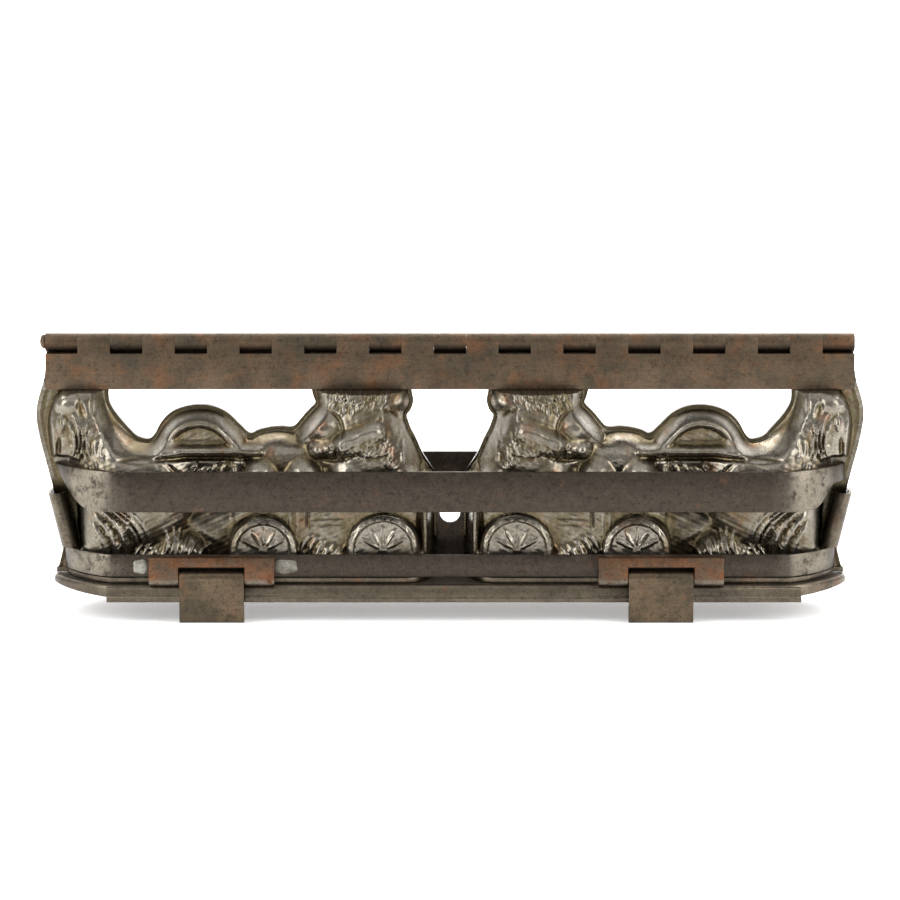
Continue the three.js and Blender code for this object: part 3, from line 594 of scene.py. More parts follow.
def prism(name, outline, start, end, axis, holes=()):
    """An outline run along an axis. It is drawn in the two other axes, in their order."""
    loops = [list(outline), *[list(hole) for hole in holes]]
    flat = [p for loop in loops for p in loop]
    count = len(flat)
    order = {"X": lambda u, v, w: (w, u, v), "Y": lambda u, v, w: (u, w, v),
             "Z": lambda u, v, w: (u, v, w)}[axis]
    points = [order(u, v, start) for u, v in flat] + [order(u, v, end) for u, v in flat]
    caps = tessellate_polygon([[Vector((u, v, 0)) for u, v in loop] for loop in loops])
    faces = [tuple(t) for t in caps] + [tuple(i + count for i in reversed(t)) for t in caps]
    first = 0
    for loop in loops:
        n = len(loop)
        for k in range(n):
            a, b = first + k, first + (k + 1) % n
            faces.append((a, b, b + count, a + count))
        first += n
    return loose(name, points, faces)


def circle(radius, sides, centre=(0.0, 0.0)):
    """The corners of a circle, once round."""
    turns = [2 * math.pi * k / sides for k in range(sides)]
    return [(centre[0] + radius * math.cos(t), centre[1] + radius * math.sin(t)) for t in turns]


def arc(radius, centre, start, end, steps):
    """Points along an arc, with both of its ends."""
    turns = [start + (end - start) * k / steps for k in range(steps + 1)]
    return [(centre[0] + radius * math.cos(t), centre[1] + radius * math.sin(t)) for t in turns]


def cut(made, cutter, operation="DIFFERENCE"):
    """Cuts a piece by another, or joins them, and removes the other."""
    worked(made, "BOOLEAN", object=cutter, operation=operation, solver="EXACT")
    bpy.data.objects.remove(cutter)


# Pressed shells


def curve_through(points, step):
    """A smooth line through points, with points about one step apart."""
    p = np.array(points, float)
    p = np.vstack([2 * p[0] - p[1], p, 2 * p[-1] - p[-2]])
    line = []
    for k in range(1, len(p) - 2):
        count = max(int(np.linalg.norm(p[k + 1] - p[k]) / step), 1)
        for t in np.arange(count) / count:
            line.append(0.5 * (
                2 * p[k] + (p[k + 1] - p[k - 1]) * t
                + (2 * p[k - 1] - 5 * p[k] + 4 * p[k + 1] - p[k + 2]) * t ** 2
                + (3 * p[k] - 3 * p[k + 1] + p[k + 2] - p[k - 1]) * t ** 3
            ))
    line.append(p[-2])
    return np.array(line)


def away_from(points, line):
    """Distance from each point to a line of points."""
    nearest = np.full(len(points), np.inf)
    for start, end in zip(line[:-1], line[1:]):
        along = end - start
        share = np.clip((points - start) @ along / max(along @ along, 1e-9), 0, 1)
        offset = points - start - share[:, None] * along
        nearest = np.minimum(nearest, np.hypot(offset[:, 0], offset[:, 1]))
    return nearest


def within(points, loop):
    """Which points lie inside a closed loop."""
    inside = np.zeros(len(points), bool)
    for (x0, z0), (x1, z1) in zip(loop, np.roll(loop, -1, axis=0)):
        if z0 == z1:
            continue
        spans = (z0 > points[:, 1]) != (z1 > points[:, 1])
        inside ^= spans & (points[:, 0] < x0 + (points[:, 1] - z0) * (x1 - x0) / (z1 - z0))
    return inside


def lobe(points, reach, drop, wide, high, rise, turn=0.0, power=2.0):
    """An ellipsoid's rise over the sheet."""
    c, s = math.cos(math.radians(turn)), math.sin(math.radians(turn))
    u, v = points[:, 0] - reach, points[:, 1] - drop
    along, across = (u * c + v * s) / wide, (v * c - u * s) / high
    inside = 1 - np.abs(along) ** power - np.abs(across) ** power
    return rise * np.sqrt(np.clip(inside, 0, None))


def stroke(points, total, row):
    """Adds one tapered stroke, raised or sunk, to the total."""
    a, b, bow, half, rise = np.array(row[:2]), np.array(row[2:4]), *row[4:]
    chord = b - a
    side = np.array([-chord[1], chord[0]]) / max(np.hypot(*chord), 1e-6)
    shares = np.linspace(0, 1, 9)
    line = a + shares[:, None] * chord + (4 * bow * shares * (1 - shares))[:, None] * side
    low, high = line.min(0) - half, line.max(0) + half
    near = np.all((points > low) & (points < high), axis=1)
    if not near.any():
        return
    spot = points[near]
    best = np.full(len(spot), np.inf)
    place = np.zeros(len(spot))
    for k in range(len(line) - 1):
        step = line[k + 1] - line[k]
        share = np.clip((spot - line[k]) @ step / (step @ step), 0, 1)
        offset = spot - line[k] - share[:, None] * step
        far = np.hypot(offset[:, 0], offset[:, 1])
        closer = far < best
        best[closer] = far[closer]
        place[closer] = (k + share[closer]) / (len(line) - 1)
    taper = np.sqrt(np.clip(np.sin(math.pi * np.clip(place, 0.02, 0.98)), 0, 1))
    profile = np.clip(1 - (best / (half * (0.35 + 0.65 * taper))) ** 2, 0, 1) ** 1.2 * taper
    part = total[near]
    total[near] = np.maximum(part, rise * profile) if rise > 0 else np.minimum(part, rise * profile)


def fur_rows():
    """The strokes of every fur patch, scattered with a fixed seed."""
    dice = np.random.default_rng(7)
    rows = []
    for reach, drop, wide, high, lie, count, size, half, rise in FUR:
        for _ in range(count):
            far, turn = math.sqrt(dice.random()), dice.random() * 2 * math.pi
            x = reach + wide * far * math.cos(turn)
            z = drop + high * far * math.sin(turn)
            way = math.radians(lie + dice.normal(0, 13))
            run = size * dice.uniform(0.6, 1.25) / 2
            dx, dz = run * math.cos(way), run * math.sin(way)
            rows.append((x - dx, z - dz, x + dx, z + dz, dice.normal(0, 0.25),
                         half * dice.uniform(0.75, 1.3), rise * dice.uniform(0.6, 1.3)))
    return rows


def eased(share):
    """A share from 0 to 1 that starts and stops softly."""
    share = np.clip(share, 0, 1)
    return share * share * (3 - 2 * share)


def depth_left(along):
    """How much of a bend's depth is left at a share of the way along it."""
    return np.clip(1 - np.clip(along, 0, 1) ** BEND, 0, 1) ** (1 / BEND)


def room_behind_bars(points):
    """How far the sheet can rise behind the bars' bent ends."""
    most = FRONT_FACE["front_bottom_bar"] - BAR_SHEET - SHEET_FACE - BAR_CLEARANCE
    start = reach_of("front_bottom_bar") - BOTTOM_BEND
    behind = most * depth_left((points[:, 0] - start) / (BOTTOM_BEND - BAR_SHEET - 0.3))
    # above the middle bar the ends are free
    free = eased((drops("front_middle_bar")[0] - 1.2 - points[:, 1]) / 5)
    return behind + (most - behind) * free


def main_forms(points):
    """Rise of the forms and limbs, blended where they meet."""
    total = np.zeros(len(points))
    for x, z, wide, high, rise, turn, power in FORMS:
        total += lobe(points, x, z, wide, high, rise, turn, power) ** FORM_BLEND
    for x0, z0, x1, z1, half, rise in LIMBS:
        far = away_from(points, np.array([[x0, z0], [x1, z1]]))
        total += (rise * np.sqrt(np.clip(1 - (far / half) ** 2, 0, None))) ** FORM_BLEND
    return total ** (1 / FORM_BLEND)


def ring_rise(points, row):
    """Rise of a round rib and the disc inside it. A wheel's rib has fine lines beside it."""
    x, z, radius, half, crown, disc = row
    out = np.hypot(points[:, 0] - x, points[:, 1] - z)
    rib = np.clip(1 - ((out - radius) / half) ** 2, 0, None) ** 0.5
    inside = np.where(out < radius, disc, 0.0)
    ring = np.where(rib > 0, inside + (crown - disc) * rib * (out < radius), inside)
    ring = np.where(out >= radius, crown * rib, ring)
    if row in WHEELS:
        lines = np.clip(1 - ((np.abs(out - radius) - 1.0) / 0.42) ** 2, 0, 1)
        ring = ring + 0.4 * lines - 0.3 * np.clip(1 - ((out - radius) / 0.7) ** 2, 0, 1)
    return ring


def carving(points):
    """Rise of all strokes, spokes and hubs over the forms, less than nought where they sink."""
    marks, cuts = np.zeros(len(points)), np.zeros(len(points))
    for row in STROKES:
        stroke(points, marks if row[-1] > 0 else cuts, row)
    for row in fur_rows():
        stroke(points, marks, row)
    (near, far), (hub, hub_rise) = SPOKE_ENDS, HUB_SHAPE
    for x, z, *_ in WHEELS:
        for turn in SPOKE_TURNS:
            c, s = math.cos(math.radians(turn)), -math.sin(math.radians(turn))
            ends = (x + near * c, z + near * s, x + far * c, z + far * s)
            stroke(points, marks, (*ends, 0, *SPOKE_SHAPE))
        marks = np.maximum(marks, lobe(points, x, z, hub, hub, hub_rise))
    return marks + cuts


def wall_share(points, edge):
    """How far up the wall that rises from the flat flange each point is, from 0 to 1."""
    reach, drop = points[:, 0], points[:, 1]
    # the wall is steep at the cart's end, wide round the tail and round at the rabbit's back
    cart_end = (drop > 42) & (reach < 39)
    margin = np.where(cart_end, 0.7, 0.9)
    slope = np.where(cart_end, 2.6, 4.6 + 3.9 * eased(1 - np.abs(reach - 105.3) / 13)
                     - 1.4 * eased((reach - 114) / 6))
    back = eased((26 - reach) / 8) * eased((44 - drop) / 8)
    slope = slope + 5.4 * back
    up = np.clip((edge - margin) / slope, 0, 1)
    wall = 0.6 * eased(up) + 0.4 * up * (2 - up)
    wall += back * ((up * (2 - up)) ** 0.75 - wall)
    # and it stands further in than the flange at the outer side
    run = np.interp(drop, (38, 45), (3.2, 2.3))
    return np.minimum(wall, eased((np.interp(drop, *OUTER_WALL) - reach) / run))


def relief(points, edge):
    """Rise of the sheet at points given by reach and drop. edge is their distance to the rim.

    With it come the rise that the die had, before the leaf and the bars take their room, and
    how far up its walls each point is.
    """
    reach, drop = points[:, 0], points[:, 1]
    height = main_forms(points)
    for row in RINGS:
        height = np.maximum(height, ring_rise(points, row))
    fold = carving(points)
    height = height + fold
    # the sheet is a little uneven
    waves = 0.10 * np.sin(reach * 1.1 + 2 * np.sin(drop * 0.5)) * np.sin(drop * 0.9 + 1.3)
    waves += 0.06 * np.sin(reach * 2.3 - drop * 1.7) * np.sin(reach * 0.7 + drop * 2.1)
    height = height + waves * np.clip(height / 4, 0, 1)
    wall = wall_share(points, edge)
    height = np.clip(height, 0, None) * wall
    # under the leaf's edge the sheet comes forward to the leaf's face, then swells past it
    below = drop - drops("front_hinge_leaf")[1] - 0.15
    shoulder = 4.6 * eased(below / 0.5) + 11 * np.sqrt(np.clip(below / 4, 0, None))
    room = room_behind_bars(points) - STROKE_ROOM + STROKE_ROOM * np.clip(fold, -1, 1)
    # at both ends the sheet comes forward to the bottom bar
    foot = eased((drop - drops("front_bottom_bar")[0] + 3.2) / 3.6)
    foot *= 1 - eased((reach - 10) / 6) * eased((119 - reach) / 5)
    inner_end = np.sqrt(np.clip(1 - (1 - np.clip((reach - 4.6) / 10, 0, 1)) ** 2, 0, 1))
    least = 0.96 * room * foot * inner_end * (reach < 127.0)
    pressed = np.minimum(np.minimum(height, shoulder), room)
    return np.maximum(pressed, least), height, wall


def blurred(field, cells):
    """A field smoothed over about so many of its cells."""
    far = int(cells * 3)
    weights = np.exp(-0.5 * (np.arange(-far, far + 1) / cells) ** 2)
    weights /= weights.sum()
    for axis in (0, 1):
        padded = np.pad(field, [(far, far) if k == axis else (0, 0) for k in (0, 1)], "edge")
        field = sum(
            w * np.take(padded, range(k, k + field.shape[axis]), axis)
            for k, w in enumerate(weights)
        )
    return field


def sampled(field, step, points):
    """The field's value at points, by straight lines between its cells."""
    at = points / step
    low = np.clip(at.astype(int), 0, np.array(field.shape) - 2)
    part = np.clip(at - low, 0, 1)
    i, j = low[:, 0], low[:, 1]
    u, v = part[:, 0], part[:, 1]
    return ((1 - u) * (1 - v) * field[i, j] + u * (1 - v) * field[i + 1, j]
            + (1 - u) * v * field[i, j + 1] + u * v * field[i + 1, j + 1])


def flat_sheet(step):
    """The left shell's sheet laid flat: points, triangles and the points' distance to the rim.

    The last value is the rim itself, all the edge but the foot. Points are step apart.
    """
    outer = curve_through(OUTER_EDGE, step)
    top = curve_through(TOP_EDGE, step)
    inner = curve_through(INNER_EDGE, step)
    straight = [curve_through(np.array([a, b]), step)[1:-1] for a, b in (
        (outer[-1], top[0]), (top[-1], inner[0]), (inner[-1], outer[0]))]
    loop = np.vstack([outer, straight[0], top, straight[1], inner, straight[2]])
    rim = np.vstack([outer, straight[0], top, straight[1], inner])
    (first_reach, last_reach), (first_drop, last_drop) = (4.5, 134), (3.5, 75.1)
    rows = np.arange(first_drop, last_drop, step * math.sqrt(3) / 2)
    grid = np.array([(x + step / 2 * (k % 2), z) for k, z in enumerate(rows)
                     for x in np.arange(first_reach, last_reach, step)])
    grid = grid[within(grid, loop) & (away_from(grid, np.vstack([loop, loop[:1]])) > step * 0.55)]
    ring = [(k, (k + 1) % len(loop)) for k in range(len(loop))]
    flat, _, triangles, *_ = delaunay_2d_cdt(
        [Vector(p) for p in np.vstack([loop, grid])], ring, [], 1, 1e-6, False)
    points = np.array([tuple(p) for p in flat])
    triangles = np.array(triangles)
    triangles = triangles[within(points[triangles].mean(axis=1), loop)].tolist()
    return points, triangles, away_from(points, rim), rim


def film_and_shade_of(points, edge, rim, die, wall):
    """How low each point lies among its neighbours on the die, from 0 to 1. The finish shows it as
    film and painted shade where high, and a painted highlight where least.
    """
    cell, near, far = 0.5, 1.6, 5.0
    columns, lines = np.arange(0, 134, cell), np.arange(0, 77, cell)
    field_points = np.array([(x, z) for x in columns for z in lines])
    _, field, _ = relief(field_points, away_from(field_points, rim[::3]))
    field = field.reshape(len(columns), len(lines))
    fine = sampled(blurred(field, near), cell, points) - die
    wide = sampled(blurred(field, far), cell, points) - die
    film_and_shade = np.clip(0.45 + (0.42 * fine + 0.07 * wide) * (0.25 + 0.75 * wall), 0.02, 1)
    # the wheels' discs get less film and painted shade and some painted highlight; the foot of the
    # wall and the very rim get more film and painted shade
    for x, z, radius, *_ in WHEELS:
        film_and_shade *= 1 - 0.7 * eased(radius - 0.6 - np.hypot(points[:, 0] - x, points[:, 1] - z))
    film_and_shade = np.maximum(film_and_shade, 0.6 - 2 * wall)
    return np.maximum(film_and_shade, 0.9 * (edge < 0.35))


def shell_sheet():
    """The left front shell: points and faces of both sides, the front's triangles, the finish's
    layers and how many points one side has."""
    sizes = bpy.context.scene.mould_sizes
    sheet, bead = sizes.sheet / MM, sizes.rim / MM
    points, triangles, edge, rim = flat_sheet(sizes.detail / MM)
    rise, die, wall = relief(points, edge)
    beading = np.clip(1 - (edge / bead) ** 2, 0, None) ** 0.5 * 0.2
    film_and_shade = film_and_shade_of(points, edge, rim, die, wall)
    # a painted highlight runs along the rim of the flange beside the head, with a dark line of film
    # and painted shade just inside it
    beside_head = eased((points[:, 0] - 118) / 4) * eased((46 - points[:, 1]) / 4)
    leaf_foot = drops("front_hinge_leaf")[1]
    beside_head *= eased((points[:, 1] - leaf_foot + 3) / 2)
    rim_highlight = 0.85 - 0.8 * eased((1.5 - edge) / 0.5)
    film_and_shade += beside_head * (edge < 2.4) * (rim_highlight - film_and_shade)
    # painted shade lies outside the wall above the bottom bar, where the bar's end and the lug
    # shade it, and on the outside behind the leaf; the rest of the rim is darkened as well
    beside = points[:, 0] - np.interp(points[:, 1], *OUTER_WALL)
    shaded = 0.85 * eased((beside + 1.7) / 2) * eased((points[:, 1] - 43) / 5)
    shaded *= eased((drops("front_bottom_bar")[0] - 1.5 - points[:, 1]) / 3)
    shaded = np.maximum(shaded, 0.6 * (1 - beside_head) * eased((1.7 - edge) / 0.8))
    behind_leaf = 0.9 * eased((leaf_foot - 1.5 - points[:, 1]) / 1.5)
    shading = {
        "film_and_shade": np.tile(film_and_shade, 2),
        "painted_shade": np.concatenate([np.maximum(shaded, behind_leaf), shaded]),
    }
    base = HALF_GAP + sheet
    outside = np.column_stack([-points[:, 0], -(base + rise + beading), -points[:, 1]])
    inside = np.column_stack([-points[:, 0], -(base - sheet + rise), -points[:, 1]])
    count = len(points)
    centre = points[triangles[0]]
    turn = np.cross(centre[1] - centre[0], centre[2] - centre[0])
    front = [tuple(t) if turn < 0 else tuple(reversed(t)) for t in triangles]
    faces = [tuple(reversed(t)) for t in front]
    faces += [tuple(i + count for i in t) for t in front]
    return np.vstack([outside, inside]), faces, front, shading, count


def boundary(front):
    """The open edges of a sheet, each in its triangle's own direction."""
    edges = [(a, b) for t in front for a, b in zip(t, t[1:] + t[:1])]
    seen = set(edges)
    return [(a, b) for a, b in edges if (b, a) not in seen]


def lip_plan():
    """The turned-out lip along the left front shell's foot, seen from above."""
    depth = FRONT_FACE["front_bottom_bar"] - 0.4
    straight = reach_of("front_bottom_bar") - BOTTOM_BEND
    inner, outer = INNER_EDGE[-1][0] + 0.1, OUTER_EDGE[0][0] - 0.1
    # where the lip starts, the least that it stands out, and how round its inner end is
    start, least, rounding = 0.2, 1.2, 10.0
    plan = [(inner, start)]
    plan += [(inner + rounding * (1 - math.cos(t)), max(depth * math.sin(t), least))
             for t in np.linspace(0.08, math.pi / 2, 14)]
    for t in np.linspace(0, math.pi / 2, 22):
        along = math.sin(t) ** (2 / BEND)
        reach = straight + BOTTOM_BEND * along
        if reach < outer:
            plan.append((reach, max(depth * float(depth_left(along)), least)))
    plan += [(outer, least), (outer, start)]
    return [(-x, -y) for x, y in plan]


def mirrored(points, flip, facing):
    """The left front shell's points for any shell. flip is -1 at the right, facing at the rear."""
    return np.asarray(points) * np.array([flip, facing, 1.0])


class MOULD_OT_shells(bpy.types.Operator):
    """Build the four pressed shells"""

    bl_idname = "mould.shells"
    bl_label = "Pressed shells"
    bl_options = {"REGISTER", "UNDO"}

    def execute(self, context):
        points, faces, front, shading, count = shell_sheet()
        for a, b in boundary(front):
            faces.append((a, b, b + count, a + count))
        for facing, half in ((1, "front"), (-1, "rear")):
            for flip, hand in ((1, "left"), (-1, "right")):
                name, body = f"{half}_shell_{hand}", f"{half}_half"
                turned = faces if flip * facing > 0 else [tuple(reversed(f)) for f in faces]
                made = piece(f"{name}_pressed", mirrored(points, flip, facing), turned,
                             "pressed tin plate", body, [name], 70)
                for key, values in shading.items():
                    set_layer(made, key, values.astype(np.float32))
                plan = [(x * flip, y * facing) for x, y in lip_plan()]
                low = -drops(name)[1]
                lip = prism(f"{name}_lip", plan, low, low + 1.5, "Z")
                dressed(lip, "grey tin plate", body, edge=0.5)
        return {"FINISHED"}


# Hinge


def leaf_outline(radius, foot, sag):
    """A leaf's section: a strip whose top is rolled round the pin, and hangs below it by sag."""
    start = math.atan2(-math.sqrt(radius ** 2 - SEAT ** 2), -SEAT)
    roll = arc(radius, (0, 0), start, math.pi, 48)
    roll = [(y, z - sag * eased(0.5 - z / radius / 2)) for y, z in roll]
    return [(-radius, -foot), (-SEAT, -foot)] + [(y, float(z)) for y, z in roll]


def notch_tree():
    """Geometry nodes that repeat a cutter at every second knuckle along a leaf."""
    tree = bpy.data.node_groups.new("notch row", "GeometryNodeTree")
    sockets = {}
    for name, kind in (
        ("Notch", "NodeSocketObject"), ("Count", "NodeSocketInt"), ("First", "NodeSocketVector"),
        ("Pitch", "NodeSocketVector"), ("Finish", "NodeSocketMaterial"),
    ):
        sockets[name] = tree.interface.new_socket(name=name, in_out="INPUT", socket_type=kind)
    tree.interface.new_socket(name="Row", in_out="OUTPUT", socket_type="NodeSocketGeometry")
    given = add(tree, "NodeGroupInput").outputs
    notch = add(tree, "GeometryNodeObjectInfo", inputs={"Object": given["Notch"]})
    places = add(
        tree, "GeometryNodeMeshLine", {"mode": "OFFSET"},
        {"Count": given["Count"], "Start Location": given["First"], "Offset": given["Pitch"]},
    )
    row = add(
        tree, "GeometryNodeInstanceOnPoints",
        inputs={"Points": places.outputs["Mesh"], "Instance": notch.outputs["Geometry"]},
    )
    real = add(tree, "GeometryNodeRealizeInstances",
               inputs={"Geometry": row.outputs["Instances"]})
    finish = add(tree, "GeometryNodeSetMaterial",
                 inputs={"Geometry": real.outputs["Geometry"], "Material": given["Finish"]})
    add(tree, "NodeGroupOutput", inputs={"Row": finish.outputs["Geometry"]})
    return tree, {name: socket.identifier for name, socket in sockets.items()}


class MOULD_OT_hinge(bpy.types.Operator):
    """Build the hinge: two leaves with rolled knuckles, and the pin"""

    bl_idname = "mould.hinge"
    bl_label = "Hinge"
    bl_options = {"REGISTER", "UNDO"}

    def execute(self, context):
        sizes = context.scene.mould_sizes
        reach = reach_of("front_hinge_leaf")
        radius, bore = FRONT_FACE["front_hinge_leaf"] - 0.01, 1.7
        foot = drops("front_hinge_leaf")[1]
        pitch, gap = 2 * reach / sizes.knuckles, sizes.knuckle_gap / MM
        tree, names = notch_tree()
        # the first knuckle that is cut away, how far the roll hangs below round, and how far
        # below the pin the notches end
        for facing, half, first, sag, notch_foot in (
            (1, "front", 0, 0.0, radius + 0.9), (-1, "rear", 1, 0.45, radius + 0.15),
        ):
            outline = [(y * facing, z) for y, z in leaf_outline(radius, foot, sag)]
            made = prism(f"{half}_hinge_leaf_rolled", outline, -reach, reach, "X",
                         [circle(bore, 24)])
            across = [(-radius - 1, -notch_foot), (radius + 1, -notch_foot),
                      (radius + 1, radius + 1), (-radius - 1, radius + 1)]
            single = prism("notch", across, -gap / 2, pitch + gap / 2, "X")
            row = loose("notch_row", [], [])
            modifier = row.modifiers.new("Notches", "NODES")
            modifier.node_group = tree
            for key, value in (
                ("Notch", single), ("Count", sizes.knuckles // 2 + 1 - first),
                ("First", ((-reach + first * pitch) * MM, 0.0, 0.0)),
                ("Pitch", (2 * pitch * MM, 0.0, 0.0)), ("Finish", materials()["brown tin plate"]),
            ):
                modifier[names[key]] = value
            kept(row)
            bpy.data.objects.remove(single)
            cut(made, row)
            rounded(made, 0.2)
            if half == "rear":
                # painted shade under the knuckles that show in the front leaf's notches
                layered(made, "painted_shade", lambda p: 0.9 * float(eased(0.2 - p.z / 2.2)))
            dressed(made, "brown tin plate", f"{half}_half", [f"{half}_hinge_leaf"])
        self.pin(reach)
        return {"FINISHED"}

    def pin(self, reach):
        """The hinge pin, with a domed head at the left."""
        head = -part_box("hinge_pin")[0].x / MM - reach
        radius, head_radius, sides = 1.5, 2.4, 28
        rows = [(radius - 0.2, reach), (radius, reach - 0.3), (radius, -reach - 0.2),
                (head_radius - 0.05, -reach - 0.25)]
        rows += [(head_radius * math.cos(t), -reach - 0.5 - (head - 0.5) * math.sin(t))
                 for t in np.linspace(0, math.pi / 2 - 0.12, 7)]
        points, faces = [(reach, 0, 0)], []
        for r, x in rows:
            points += [(x, *p) for p in circle(r, sides)]
        points.append((-reach - head, 0, 0))
        for j in range(len(rows) - 1):
            for k in range(sides):
                a, b = 1 + j * sides + k, 1 + j * sides + (k + 1) % sides
                faces.append((a, b, b + sides, a + sides))
        last = 1 + (len(rows) - 1) * sides
        for k in range(sides):
            faces.append((0, 1 + (k + 1) % sides, 1 + k))
            faces.append((len(points) - 1, last + k, last + (k + 1) % sides))
        made = loose("hinge_pin_rod", points, faces)
        dressed(made, "brown tin plate", "rear_half", ["hinge_pin"])


# Bars


def bar_strip(name, reach, bend, depth, top, lower_edge, facing):
    """A strip across the face, bent back at both ends. lower_edge gives its drop by place."""
    sheet = bpy.context.scene.mould_sizes.strip / MM
    straight = reach - bend
    ends = [math.sin(t) ** (2 / BEND) for t in np.linspace(math.pi / 2, 0, 27)]
    stations = [(-1, -straight, along) for along in ends]
    stations += [(0, float(x), 0.0) for x in np.linspace(-straight, straight, 40)[1:-1]]
    stations += [(1, straight, along) for along in reversed(ends)]
    points, faces = [], []
    for way, start, along in stations:
        left = float(depth_left(along))
        outer = (start + way * bend * along, -(SEAT + (depth - SEAT) * left))
        inner = (start + way * (bend - sheet) * along, -(SEAT + (depth - sheet - SEAT) * left))
        low = lower_edge(outer[0])
        for (px, py), z in ((outer, -top), (outer, -low), (inner, -low), (inner, -top)):
            points.append((px, py * facing, z))
    n = len(stations)
    for k in range(n - 1):
        for j in range(4):
            a, b = 4 * k + j, 4 * k + (j + 1) % 4
            faces.append((a, b, b + 4, a + 4))
    faces += [(0, 1, 2, 3), tuple(4 * (n - 1) + j for j in (3, 2, 1, 0))]
    return loose(name, points, faces)


class MOULD_OT_bars(bpy.types.Operator):
    """Build the bars across both faces"""

    bl_idname = "mould.bars"
    bl_label = "Bars"
    bl_options = {"REGISTER", "UNDO"}

    def execute(self, context):
        top, low = drops("front_middle_bar")
        low_top, low_foot = drops("front_bottom_bar")
        reach, low_reach = reach_of("front_middle_bar"), reach_of("front_bottom_bar")
        # how far from the left and right tips the lower edge starts and stops to rise, and
        # the height that is left there
        cuts = ((12.5, 0.0, 0.9), (11.5, 4.0, 5.6))

        def tapered(x):
            """The middle bar's lower edge, which rises towards both tips."""
            start, stop, height = cuts[int(x > 0)]
            share = min(max((abs(x) - reach + start) / (start - stop), 0), 1)
            return low - (1 - (1 - share ** 2) ** 1.3) * (low - top - height)

        def highlighted(bend, ends):
            """Where a bar gets its painted highlight of paler tin: most on its bends, and less
            again at its tips.
            """
            return lambda p: float(eased((abs(p.x) - ends + bend + 3) / 9)
                                   * eased((ends - 3.5 - abs(p.x)) / 4))

        for facing, half in ((1, "front"), (-1, "rear")):
            for bar, bar_reach, bend, bar_top, lower_edge, worn in (
                ("middle_bar", reach, MIDDLE_BEND, top, tapered, highlighted(MIDDLE_BEND, reach)),
                ("bottom_bar", low_reach, BOTTOM_BEND, low_top, lambda x: low_foot,
                 highlighted(BOTTOM_BEND + 3, low_reach + 3)),
            ):
                depth = FRONT_FACE[f"front_{bar}"]
                made = bar_strip(f"{half}_{bar}_strip", bar_reach, bend, depth, bar_top,
                                 lower_edge, facing)
                rounded(made, 0.3)
                # a painted highlight on the bent ends
                layered(made, "worn", worn)
                dressed(made, "dull tin plate", f"{half}_half", [f"{half}_{bar}"])
                if bar == "middle_bar":
                    for way, hand in ((-1, "left"), (1, "right")):
                        bend_fill(f"{half}_middle_solder_{hand}", bar_reach, bend, depth, bar_top,
                                  way, facing)
        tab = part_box("latch_tab_left")
        for name, x, wide in (("tab_solder_inner", tab[1].x / MM + 3.4, 3.9),
                              ("tab_solder_outer", tab[0].x / MM - 2.9, 2.4)):
            solder_patch(name, (x, (low_top + low_foot) / 2 + 0.3), (wide, 2.3),
                         FRONT_FACE["front_bottom_bar"], "front_half")
        return {"FINISHED"}


def bend_fill(name, reach, bend, depth, level, way, facing):
    """Solder that closes the corner behind a bar's bent end, just below the bar's top."""
    # how far behind the bar's outer face it ends, and its inner side from the middle plane
    behind, inner = 0.5, 0.9
    plan = []
    for t in np.linspace(0.25, 1.42, 14):
        along = math.sin(t) ** (2 / BEND)
        left = float(depth_left(along))
        plan.append((reach - bend + (bend - behind) * along,
                     -(SEAT + (depth - behind - SEAT) * left)))
    plan += [(plan[-1][0], -inner), (plan[0][0], -inner)]
    plan = [(x * way, y * facing) for x, y in plan]
    made = prism(name, plan, -level - 1.1, -level - 0.35, "Z")
    dressed(made, "brown tin plate", f"{'front' if facing > 0 else 'rear'}_half", edge=0.2)


def solder_patch(name, centre, size, face, body):
    """A low wiped patch of solder on a bar's front face."""
    # each ring's share of the patch's size, and how far it stands off the bar
    rings = ((1.0, -0.1), (1.0, 0.04), (0.86, 0.2), (0.6, 0.3), (0.3, 0.34))
    sides = 30
    points, faces = [], []
    for scale, rise in rings:
        for x, z in circle(1, sides):
            wobble = 1 + 0.06 * math.sin(5 * math.atan2(z, x) + centre[0])
            square = max(abs(x), abs(z)) ** 0.35
            points.append((centre[0] + size[0] * scale * wobble * x / square, -face - rise,
                           -centre[1] + size[1] * scale * wobble * z / square))
    for j in range(len(rings) - 1):
        for k in range(sides):
            a, b = j * sides + k, j * sides + (k + 1) % sides
            faces.append((a, b, b + sides, a + sides))
    last = (len(rings) - 1) * sides
    faces += [tuple(range(sides)), tuple(last + k for k in range(sides))]
    dressed(loose(name, points, faces), "solder", body)


class MOULD_OT_webs(bpy.types.Operator):
    """Build the slotted webs between the figures"""

    bl_idname = "mould.webs"
    bl_label = "Centre webs"
    bl_options = {"REGISTER", "UNDO"}

    def execute(self, context):
        top, low = drops("front_centre_web")
        reach = reach_of("front_centre_web") + 0.6
        slot, slot_depth = 3.3, 6.1
        bottom = -top - slot_depth + slot
        outer_face, inner_face = 1.0, 0.25
        outline = [(-reach, -low), (reach, -low), (reach, -top), (slot, -top)]
        outline += arc(slot, (0, bottom), 0, -math.pi, 20) + [(-slot, -top), (-reach, -top)]
        for facing, half in ((1, "front"), (-1, "rear")):
            made = prism(f"{half}_centre_web_plate", outline, -outer_face * facing,
                         -inner_face * facing, "Y")
            dressed(made, "dull tin plate", f"{half}_half", [f"{half}_centre_web"], edge=0.18)
        return {"FINISHED"}


def tray(name, loops, crown):
    """A flat-topped tray from loops round it. Those before crown run up its outside and the rest
    down its inside, and a flat face closes each."""
    n = len(loops[0])
    points = [p for loop in loops for p in loop]
    faces = []
    for j in range(len(loops)):
        if j == crown - 1:
            continue
        for k in range(n):
            a, b = j * n + k, j * n + (k + 1) % n
            low, high = ((j + 1) % len(loops)) * n + k, ((j + 1) % len(loops)) * n + (k + 1) % n
            faces.append((a, b, high, low))
    for j in (crown - 1, crown):
        caps = tessellate_polygon([[Vector(p) for p in loops[j]]])
        faces += [tuple(j * n + i for i in t) for t in caps]
    return loose(name, points, faces)


